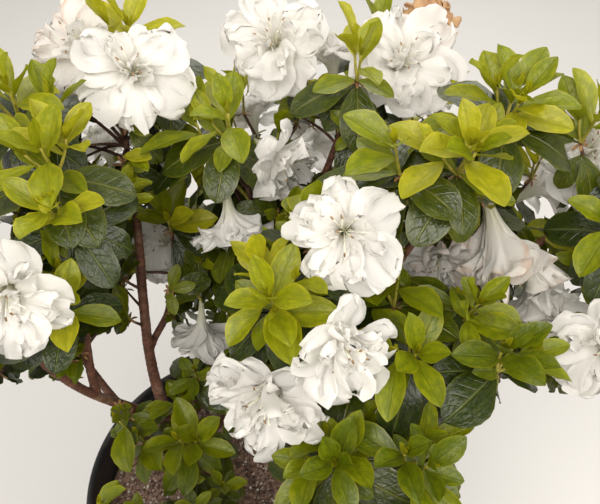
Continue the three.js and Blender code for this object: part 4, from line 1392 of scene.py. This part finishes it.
for number, (name, laid) in enumerate(layouts.items()):
    draw = number_stream(STREAM_STEP * (number + 1) + 31)
    for k, (root, mouth, axis) in enumerate(laid["blooms"]):
        bloom = (name, k)
        if bloom in TURNED:
            turned = facing(TURNED[bloom])
            mouth, axis = mouth + (turned - axis) * BLOOM_DEPTH, turned
        age = "blushed" if bloom in BLUSHED else "white"
        size = PETAL_SIZE * (0.97 + 0.05 * draw()) * SIZES.get(bloom, 1)
        grow_bloom(root, laid["out"], mouth, axis, draw, age, size, BELLS.get(bloom, 0))
spent_root = stems["rear_crest"][0].at(0.9)
spent_axis = facing((-90, 50))
grow_bloom(spent_root, SPENT_LEAVE, SPENT_MOUTH, spent_axis, number_stream(77), "spent", SPENT_SIZE)
print("petal faces", sum(len(f) for kind, heap in heaps.items() if "petals" in kind for f in heap.faces))

# %% [markdown]
# ## Whorls of leaves and new shoots
# At the end of each twig is last year's whorl of dark blunt leaves. Out of it stand this year's shoots,
# each a soft green stem with pointed lime leaves that turn up at the top. The tints are plain colours
# dealt out by spray: a whorl draws the tint of its old leaves, and each shoot its own.

# %% The tints and how a leaf is tried
OLD_TINTS = ["old_deep", "old_green", "old_soft"]
YOUNG_TINTS = ["young_green", "young_lime", "young_bright"]
RIPER_TINTS = ["ripe_green", "ripe_lime", "young_green"]
# Masses whose old leaves are softer and whose new ones are greener, as on the low right of the crown
RIPER = {"front_right", "right_front", "front", "front_left", "front_right_low", "low_shoots",
         "right_end", "spur"}
# A leaf without room is tried again further round and then smaller: nudge and size. In a ring the nudge
# is a share of the way to the next leaf, and on a shoot it is in radians.
NUDGES = [(0, 1), (0.35, 1), (-0.35, 1), (0.2, 0.84), (-0.2, 0.84), (0, 0.68)]


def try_leaf(kind, blank, root, axis, tilt, turns, length, slim, tile, open_share, own):
    """Puts a leaf at the first turn and size at which it has room, and says whether it did."""
    for turn, (_, share) in zip(turns, NUDGES):
        long = length * share
        points = bent_leaf(blank, root, leaning(axis, tilt, turn), axis, long, long * slim, **own)
        if put_leaf(kind, blank, points, tile, open_share):
            return True
    return False


print("tints of leaves", len({*OLD_TINTS, *YOUNG_TINTS, *RIPER_TINTS}))


# %% Rings of leaves and young shoots
SHOOT_SIDES = 6


def ring_of_leaves(kind, blank, root, axis, count, start, draw, lean, length, slim, open_share, shape):
    """Leaves all round a twig, each with its own length, lean, droop, fold and twist."""
    placed = 0
    for i in range(count):
        long = length * (0.86 + 0.26 * draw())
        tilt = lean + 0.34 * (draw() - 0.5)
        own = dict(shape)
        own["droop"] *= 0.6 + 0.8 * draw()
        own["fold"] *= 0.6 + 0.8 * draw()
        own["twist"] = 0.5 * (draw() - 0.5)
        own["phase"] = 6 * draw()
        tile = int(draw() * 4)
        turns = [start + (i + nudge) * FULL_TURN / count for nudge, _ in NUDGES]
        placed += try_leaf(kind, blank, root, axis, tilt, turns, long, slim, tile, open_share, own)
    return placed


def grow_shoot(base, axis, lean, turn, length, draw, tint, size, open_share):
    """A soft green stem with a spiral of leaves that turn up at the top, and three baby leaves."""
    leave, arrive = leaning(axis, lean * 1.2, turn), leaning(axis, lean * 0.55, turn)
    curve = Bow(base, leave, base + leaning(axis, lean * 0.95, turn) * length, arrive)
    points, faces = stem_tube(curve, 1.3 * size, 0.85 * size, SHOOT_SIDES, 5)
    if outside_box(points):
        return 0
    # The first ring is in the whorl's base, so it is left out of the test
    free, past = 2 * SHOOT_SIDES, 4 * SHOOT_SIDES
    made = thicket.tree_of(points[free:], (faces[faces.min(1) >= free] - free).tolist())
    if thicket.meets(made) or not clear_of_wood(points[past:], WOOD_GAP):
        return 0
    count = 4 + int(draw() * 2.7)
    placed = 0
    for i in range(count):
        share = i / (count - 1)
        spot, ahead = curve.at(0.56 + 0.44 * share), curve.heading(0.56 + 0.44 * share)
        long = (41 - 11 * share) * (0.84 + 0.3 * draw()) * size
        tilt = 1.06 - 0.64 * share + 0.26 * (draw() - 0.5)
        own = {"droop": 0.6 * draw() - 0.2 + 0.3 * (1 - share), "fold": 0.26 + 0.34 * draw(),
               "twist": 0.5 * (draw() - 0.5), "wave": 0.7, "phase": 6 * draw()}
        slim = 0.43 + 0.08 * draw()
        tile = int(draw() * 4)
        turns = [turn + i * GOLDEN_ANGLE + nudge for nudge, _ in NUDGES]
        placed += try_leaf(tint, POINTED_LEAF, spot, ahead, tilt, turns, long, slim, tile, open_share, own)
    if placed < 2:
        return placed
    heap_of("green_stems").add(points, faces)
    thicket.keep(made)
    tip, ahead = curve.at(1), curve.heading(1)
    for i in range(3):
        along = leaning(ahead, 0.2 + 0.16 * i, turn + 1 + i * GOLDEN_ANGLE)
        long = (9 + 6 * draw()) * size
        leaf = bent_leaf(BABY_LEAF, tip - ahead * 0.5, along, ahead, long, long * 0.34, droop=-0.3, fold=0.5)
        heap_of("young_bright").add(leaf, BABY_LEAF.faces, BABY_LEAF.chart(i))
    return placed


print("a leaf is tried at most", len(NUDGES), "times")

# %% Grow a whorl
OLD_LENGTH = 57
LOWER_LENGTH = 42
RIPE_LENGTH = 34
OLD_SHAPE = {"droop": 0.66, "fold": 0.15, "cup": -0.04, "wave": 1.0}
RIPE_SHAPE = {"droop": 0.4, "fold": 0.25, "wave": 0.6}
SMALL_WHORL = 0.9
BUD_SCALES = 6


def old_leaves(base, lower, axis, turn, draw, name, size, pick, open_share):
    """Last year's leaves in two rings, or in one sparse ring on the low shoots."""
    if name == "low_shoots":
        return ring_of_leaves("ripe_green", BLUNT_LEAF, base, axis, 4, turn, draw, 1.4,
                              RIPE_LENGTH * size, 0.5, open_share, OLD_SHAPE)
    old = OLD_TINTS[min(2, int(pick * 2.2 + (0.7 if name in RIPER else 0)))]
    count = 5 if size <= SMALL_WHORL else 7
    placed = ring_of_leaves(old, BLUNT_LEAF, base, axis, count, turn, draw, 1.5,
                            OLD_LENGTH * size, 0.52, open_share, OLD_SHAPE)
    below = old if pick < 0.6 else "old_soft"
    placed += ring_of_leaves(below, BLUNT_LEAF, lower, axis, 5, turn + 0.5, draw, 1.9,
                             LOWER_LENGTH * size, 0.5, open_share, OLD_SHAPE)
    return placed


def grow_whorl(rosette, draw, name, shoots, open_share, wooden=0.74):
    """A twig, of wood up to a share of its length, with old leaves, shoots and bud scales."""
    twig, axis, turn, size = (rosette[key] for key in ("twig", "axis", "turn", "size"))
    if name == "low_shoots":
        size, shoots = size * 1.02, min(shoots, 3)
    small = size <= SMALL_WHORL
    base, lower = twig.at(wooden), twig.at(wooden - 0.12)
    wood, wood_faces = stem_tube(twig, 1.5 if small else 1.95, 1.35 * size, 7, 9, 0, wooden + 0.02)
    heap_of("brown_twigs").add(wood, wood_faces)
    thicket.keep(thicket.tree_of(wood, wood_faces.tolist()))
    placed = old_leaves(base, lower, axis, turn, draw, name, size, draw(), open_share)
    rising = (axis * 0.42 + UP * 0.58).normalized()
    tints = RIPER_TINTS if name in RIPER else YOUNG_TINTS
    for k in range(shoots):
        central = k == 0 and shoots != 2
        lean = 0.1 + 0.12 * draw() if central else 0.32 + 0.26 * draw()
        around = turn + 0.3 + k * FULL_TURN / max(1, shoots - 1)
        tint = tints[min(2, int(draw() * 2.75))]
        length = (22 + 15 * draw()) * size
        placed += grow_shoot(base, rising, lean, around, length, draw, tint, size, open_share)
    ripe, count = "ripe_green" if name in RIPER else "ripe_lime", 4 if small else 2
    placed += ring_of_leaves(ripe, POINTED_LEAF, base + axis * 2, axis, count, turn + 0.9, draw, 1.15,
                             RIPE_LENGTH * size, 0.45, open_share, RIPE_SHAPE)
    for k in range(BUD_SCALES):
        way = leaning(axis, 0.9 + 0.7 * draw(), k * 1.05)
        scale = bent_leaf(BABY_LEAF, base - axis * 0.5, way, axis, 5.5 + 3 * draw(), 2.4, droop=0.9, fold=0.3)
        heap_of("bud_scales").add(scale, BABY_LEAF.faces, BABY_LEAF.chart(k % 4))
    return placed


# %% Grow the whorls
leaf_count = 0
for number, (name, laid) in enumerate(layouts.items()):
    draw = number_stream(STREAM_STEP * (number + 1) + 57)
    for k, rosette in enumerate(laid["rosettes"]):
        shoots, open_share = (5, 0.55) if k < laid["shown"] else (3, 0.8)
        leaf_count += grow_whorl(rosette, draw, name, shoots, open_share)
print("leaves on the first whorls", leaf_count)

# %% [markdown]
# ## Finer twigs that fill the crown
# Between the first whorls each mass carries smaller ones on thinner twigs, tried at the golden angle all
# round its stem. They keep to the mass's space and reach. The low shoots stay sparse, as in the photograph.

# %% Grow the finer twigs
FINER_TRIES = 120
LOW_TRIES = 3
FINER_APART = 19
finer_count = 0
for number, (name, laid) in enumerate(layouts.items()):
    heart, reach = Vector(MASSES[name][0]), MASSES[name][1]
    draw = number_stream(STREAM_STEP * (number + 1) + 83)
    for k in range(LOW_TRIES if name == "low_shoots" else FINER_TRIES):
        size = 0.6 + 0.26 * draw()
        away = leaning(laid["out"], math.acos(1 - 1.75 * draw()), k * GOLDEN_ANGLE)
        crown = heart + away * reach * (0.3 + 0.5 * draw())
        axis = (away * 0.7 + UP * (0.35 + 0.5 * draw())).normalized()
        root = stems[name][0].at(0.15 + 0.8 * draw())
        if blocks_view([tuple(crown), tuple(crown + axis * 30)], 0.9):
            continue
        if not try_rosette(laid, root, crown, axis, draw() * ANY_TURN, name, FINER_APART, size):
            continue
        rosette = laid["rosettes"][-1]
        wood, wood_faces = stem_tube(rosette["twig"], 1.3, 1.0, 6, 6, 0.12, 0.72)
        if thicket.meets(thicket.tree_of(wood, wood_faces.tolist())):
            laid["rosettes"].pop()
            continue
        finer_count += 1
        leaf_count += grow_whorl(rosette, draw, name, 2 + int(draw() * 1.6), 0.9)
print("finer whorls", finer_count, "leaves in all", leaf_count)

# %% [markdown]
# Short spurs stand on the boughs themselves, each with one shoot. On an old branch they come from sleeping
# buds, and they hide how the first whorls are spaced.

# %% Grow the spurs
SPUR_SPACING = 11
SPUR_END = 0.97
spur_count = 0
for number, (limb_name, (curve, _, _)) in enumerate(limbs.items()):
    draw = number_stream(STREAM_STEP * (number + 1) + 109)
    tries = int((curve.at(1) - curve.at(0)).length / SPUR_SPACING)
    for k in range(tries):
        share = min(0.3 + 0.67 * (k + draw()) / tries, SPUR_END)
        spot, ahead = curve.at(share), curve.heading(share)
        way = (leaning(ahead, 1.1, k * GOLDEN_ANGLE) + UP * 0.5).normalized()
        tip = spot + way * (16 + 12 * draw())
        if limb_name == "trunk" or blocks_view([tuple(tip), tuple(tip + way * 24)]):
            continue
        twig = Bow(spot, way, tip, (way + UP * 0.6).normalized())
        wood, wood_faces = stem_tube(twig, 1.3, 0.9, 6, 4, 0.3, 0.9)
        if not clear_of_wood(wood[-12:], 1.0) or thicket.meets(thicket.tree_of(wood, wood_faces.tolist())):
            continue
        turn, size = draw() * ANY_TURN, 0.55 + 0.2 * draw()
        rosette = {"twig": twig, "axis": twig.heading(1), "turn": turn, "size": size}
        leaf_count += grow_whorl(rosette, draw, "spur", 1, 1.0, wooden=0.9)
        spur_count += 1
print("spurs", spur_count, "leaves in all", leaf_count)

# %% [markdown]
# ## The finish of leaves and petals
# A leaf's chart gives its midrib, the side veins that run forward from it, and its margin. Veins are sunk
# into the blade, and the side veins are painted darker, as painted shade in their grooves. The midrib and a
# fine network take the midrib colour, which is paler on old leaves and darker on young and ripe ones, where
# it is painted shade in the groove. Some light comes through a leaf or petal, so the glossy surface is
# mixed with a translucent one. Every leaf of a tint shares one chart, which is drawn in four versions.

# %% Read a blade's chart
def chart_shares(finish):
    """How far a point is from the midrib and along the blade, and its place in the chart."""
    chart = wire(finish, "ShaderNodeUVMap", uv_map="OFBake").outputs[0]
    grown = wire(finish, "ShaderNodeVectorMath", {0: chart, 1: (2, 2, 1)}, operation="MULTIPLY").outputs[0]
    within = wire(finish, "ShaderNodeVectorMath", {0: grown}, operation="FRACTION").outputs[0]
    parts = wire(finish, "ShaderNodeSeparateXYZ", {0: within})
    aside = sums(finish, "MULTIPLY", sums(finish, "SUBTRACT", parts.outputs["X"], 0.5), 2.083)
    return sums(finish, "ABSOLUTE", aside), parts.outputs["Y"], chart


def let_light_through(finish, colour, share):
    """Mixes a translucent surface into the glossy one."""
    glow = wire(finish, "ShaderNodeBsdfTranslucent", {"Color": colour})
    both = wire(finish, "ShaderNodeMixShader", {0: share, 1: skin_of(finish).outputs[0], 2: glow.outputs[0]})
    surface = finish.node_tree.nodes["Material Output"].inputs["Surface"]
    finish.node_tree.links.new(both.outputs[0], surface)


print("tiles in a chart", len({tuple(BABY_LEAF.chart(tile)[0]) for tile in range(4)}))

# %% Finish the leaves
WAXY = 0.36
WAXY_RELIEF, SOFT_RELIEF = 0.001, 0.0006
GLOW = 1.5


def leaf_finish(name, deep, blade, midrib_colour_and_groove_shade, margin, roughness, through):
    finish = new_finish(name, roughness)
    aside, along, chart = chart_shares(finish)
    midrib = ramp(finish, aside, 0.09, 0.02)
    forward = sums(finish, "SUBTRACT", along, sums(finish, "MULTIPLY", aside, 0.22))
    spacing = sums(finish, "PINGPONG", sums(finish, "MULTIPLY", forward, 7.0), 0.5)
    veins = sums(finish, "MULTIPLY", ramp(finish, spacing, 0.12, 0.0), ramp(finish, aside, 0.95, 0.5))
    mottle = ramp(finish, speckle(finish, chart, 9, 5, 0.62), 0.36, 0.7)
    cells = {"Vector": chart, "Scale": 26.0}
    network = wire(finish, "ShaderNodeTexVoronoi", cells, feature="DISTANCE_TO_EDGE").outputs[0]

    base = blended(finish, mottle, deep, blade)
    # Side veins are darkened towards the deep tone: painted shade in the sunk veins.
    base = blended(finish, sums(finish, "MULTIPLY", veins, 0.32), base, deep)
    # Midrib and network take the midrib colour: paler on old leaves, darker on young and ripe ones as painted
    # shade.
    base = blended(finish, sums(finish, "MULTIPLY", midrib, 0.85), base, midrib_colour_and_groove_shade)
    base = blended(finish, ramp(finish, aside, 0.86, 1.0, 0.0, 0.5), base, margin)
    base = blended(finish, ramp(finish, network, 0.07, 0.0, 0.0, 0.28), base, midrib_colour_and_groove_shade)
    attach(finish, "Base Color", base)

    quilt = sums(finish, "MULTIPLY", speckle(finish, chart, 22, 2, 0.5), 0.9)
    sunk = sums(finish, "MAXIMUM", midrib, sums(finish, "MULTIPLY", veins, 0.25))
    relief = WAXY_RELIEF if roughness < WAXY else SOFT_RELIEF
    raised(finish, sums(finish, "SUBTRACT", quilt, sunk), relief, 0.7)
    skin_of(finish).inputs["Specular IOR Level"].default_value = 0.45
    let_light_through(finish, tuple(min(1, c * GLOW) for c in blade) + (1,), through)
    return finish


# kind: name, then deep, blade, midrib (darker ones are painted groove shade) and margin colours, roughness,
# share of light that comes through
LEAF_LOOKS = {
    "old_deep": ("deep_old_leaf", (0.011, 0.021, 0.001), (0.027, 0.042, 0.002),
                 (0.08, 0.096, 0.018), (0.07, 0.077, 0.005), 0.31, 0.04),
    "old_green": ("green_old_leaf", (0.024, 0.038, 0.001), (0.054, 0.07, 0.002),
                  (0.12, 0.13, 0.018), (0.11, 0.112, 0.006), 0.31, 0.06),
    "old_soft": ("soft_old_leaf", (0.046, 0.067, 0.001), (0.099, 0.119, 0.002),
                 (0.16, 0.17, 0.018), (0.18, 0.171, 0.01), 0.34, 0.1),
    "ripe_green": ("ripe_green_leaf", (0.075, 0.106, 0.001), (0.15, 0.179, 0.002),
                   (0.09, 0.12, 0.003), (0.27, 0.245, 0.01), 0.37, 0.16),
    "ripe_lime": ("ripe_lime_leaf", (0.12, 0.154, 0.001), (0.21, 0.232, 0.002),
                  (0.13, 0.158, 0.003), (0.35, 0.305, 0.01), 0.38, 0.2),
    "young_green": ("green_young_leaf", (0.135, 0.172, 0.001), (0.258, 0.28, 0.003),
                    (0.166, 0.196, 0.004), (0.39, 0.34, 0.012), 0.4, 0.22),
    "young_lime": ("lime_young_leaf", (0.185, 0.214, 0.002), (0.33, 0.338, 0.005),
                   (0.232, 0.25, 0.006), (0.5, 0.42, 0.015), 0.41, 0.25),
    "young_bright": ("bright_young_leaf", (0.27, 0.275, 0.005), (0.43, 0.41, 0.014),
                     (0.322, 0.32, 0.01), (0.6, 0.49, 0.03), 0.42, 0.28),
}
LEAF_FINISHES = {kind: leaf_finish(*look) for kind, look in LEAF_LOOKS.items()}
print("leaf finishes", len(LEAF_FINISHES))


# %% Finish the petals
def petal_finish(name, petal, throat, rim, rim_share, through):
    finish = new_finish(name, 0.5)
    aside, along, chart = chart_shares(finish)
    base = blended(finish, ramp(finish, along, 0.12, 0.62), throat, petal)
    blotches = ramp(finish, speckle(finish, chart, 9, 4, 0.6), 0.4, 0.65)
    edge = sums(finish, "MAXIMUM", ramp(finish, along, 0.86, 1.0), ramp(finish, aside, 0.88, 1.0))
    edge = sums(finish, "MULTIPLY", sums(finish, "MULTIPLY", edge, blotches), rim_share)
    attach(finish, "Base Color", blended(finish, edge, base, rim))
    narrow = wire(finish, "ShaderNodeMapping", {"Vector": chart, "Scale": (46, 5, 1)}).outputs[0]
    raised(finish, speckle(finish, narrow, 1.0), 0.0008, 0.5)
    skin_of(finish).inputs["Specular IOR Level"].default_value = 0.3
    let_light_through(finish, (*petal, 1), through)
    return finish


# look: petal, throat and rim colours, share of the rim that is coloured, share of light that comes through
PETAL_LOOKS = {
    "white": ((0.95, 0.935, 0.91), (0.86, 0.87, 0.64), (0.87, 0.83, 0.76), 0.35, 0.5),
    "inner_white": ((0.95, 0.935, 0.905), (0.86, 0.86, 0.6), (0.87, 0.82, 0.74), 0.35, 0.47),
    "blushed": ((0.94, 0.915, 0.88), (0.85, 0.84, 0.62), (0.62, 0.37, 0.24), 0.9, 0.45),
    "spent": ((0.58, 0.37, 0.2), (0.45, 0.29, 0.13), (0.26, 0.12, 0.055), 0.9, 0.25),
}
PETALS = {look: petal_finish(f"{look}_petal", *values) for look, values in PETAL_LOOKS.items()}
PETAL_FINISHES = {
    "petals_white_outer": PETALS["white"], "petals_white_inner": PETALS["inner_white"],
    "petals_white_tuft": PETALS["inner_white"], "petals_blushed_outer": PETALS["blushed"],
    "petals_blushed_inner": PETALS["blushed"], "petals_blushed_tuft": PETALS["inner_white"],
    "petals_spent_outer": PETALS["spent"], "petals_spent_inner": PETALS["spent"],
    "petals_spent_tuft": PETALS["spent"],
}
print("petal finishes", len(PETALS))


# %% Finish the stems, scales and stamens
def plain_finish(name, first, second, roughness, scale=160):
    """Two close colours in soft specks, with a fine grain."""
    finish = new_finish(name, roughness)
    places = object_places(finish)
    specks = ramp(finish, speckle(finish, places, scale), 0.35, 0.65)
    attach(finish, "Base Color", blended(finish, specks, first, second))
    raised(finish, speckle(finish, places, 1500, 2), 0.0002, 0.5)
    return finish


TWIG_DEEP, TWIG_PLAIN, TWIG_WORN = (0.045, 0.02, 0.013), (0.15, 0.066, 0.042), (0.19, 0.12, 0.085)
OTHER_FINISHES = {
    "green_stems": plain_finish("hairy_green_stem", (0.25, 0.235, 0.02), (0.4, 0.345, 0.05), 0.6),
    "calyx_lobes": plain_finish("calyx_green", (0.2, 0.3, 0.05), (0.32, 0.38, 0.08), 0.5),
    "bud_scales": plain_finish("tan_bud_scale", (0.16, 0.075, 0.03), (0.36, 0.2, 0.08), 0.6, 300),
    "stamens": plain_finish("cream_stamen", (0.78, 0.76, 0.55), (0.85, 0.84, 0.72), 0.5),
    "pollen_sacs": plain_finish("brown_pollen_sac", (0.16, 0.08, 0.04), (0.4, 0.26, 0.12), 0.6, 900),
    "brown_twigs": bark_finish("brown_twig", TWIG_DEEP, TWIG_PLAIN, TWIG_WORN, relief=False),
}
print("other finishes", len(OTHER_FINISHES))

# %% [markdown]
# ## Join each kind into its piece
# Thousands of loose leaves would be slow. Each kind is joined into one mesh, which rides on the plant's
# body and stands for the masses of foliage.

# %% Join the pieces
finishes = {**LEAF_FINISHES, **PETAL_FINISHES, **OTHER_FINISHES}
total = 0
for kind, heap in heaps.items():
    piece = heap.join(f"{kind}_leaves" if kind in LEAF_FINISHES else kind, finishes[kind])
    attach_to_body(piece, "root")
    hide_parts(*[f"{name}_foliage" for name in MASSES])
    triangles = 2 * len(piece.data.polygons)
    total += triangles
    print(f"{piece.name:26s}{triangles:8d} triangles")
print("foliage triangles", total)
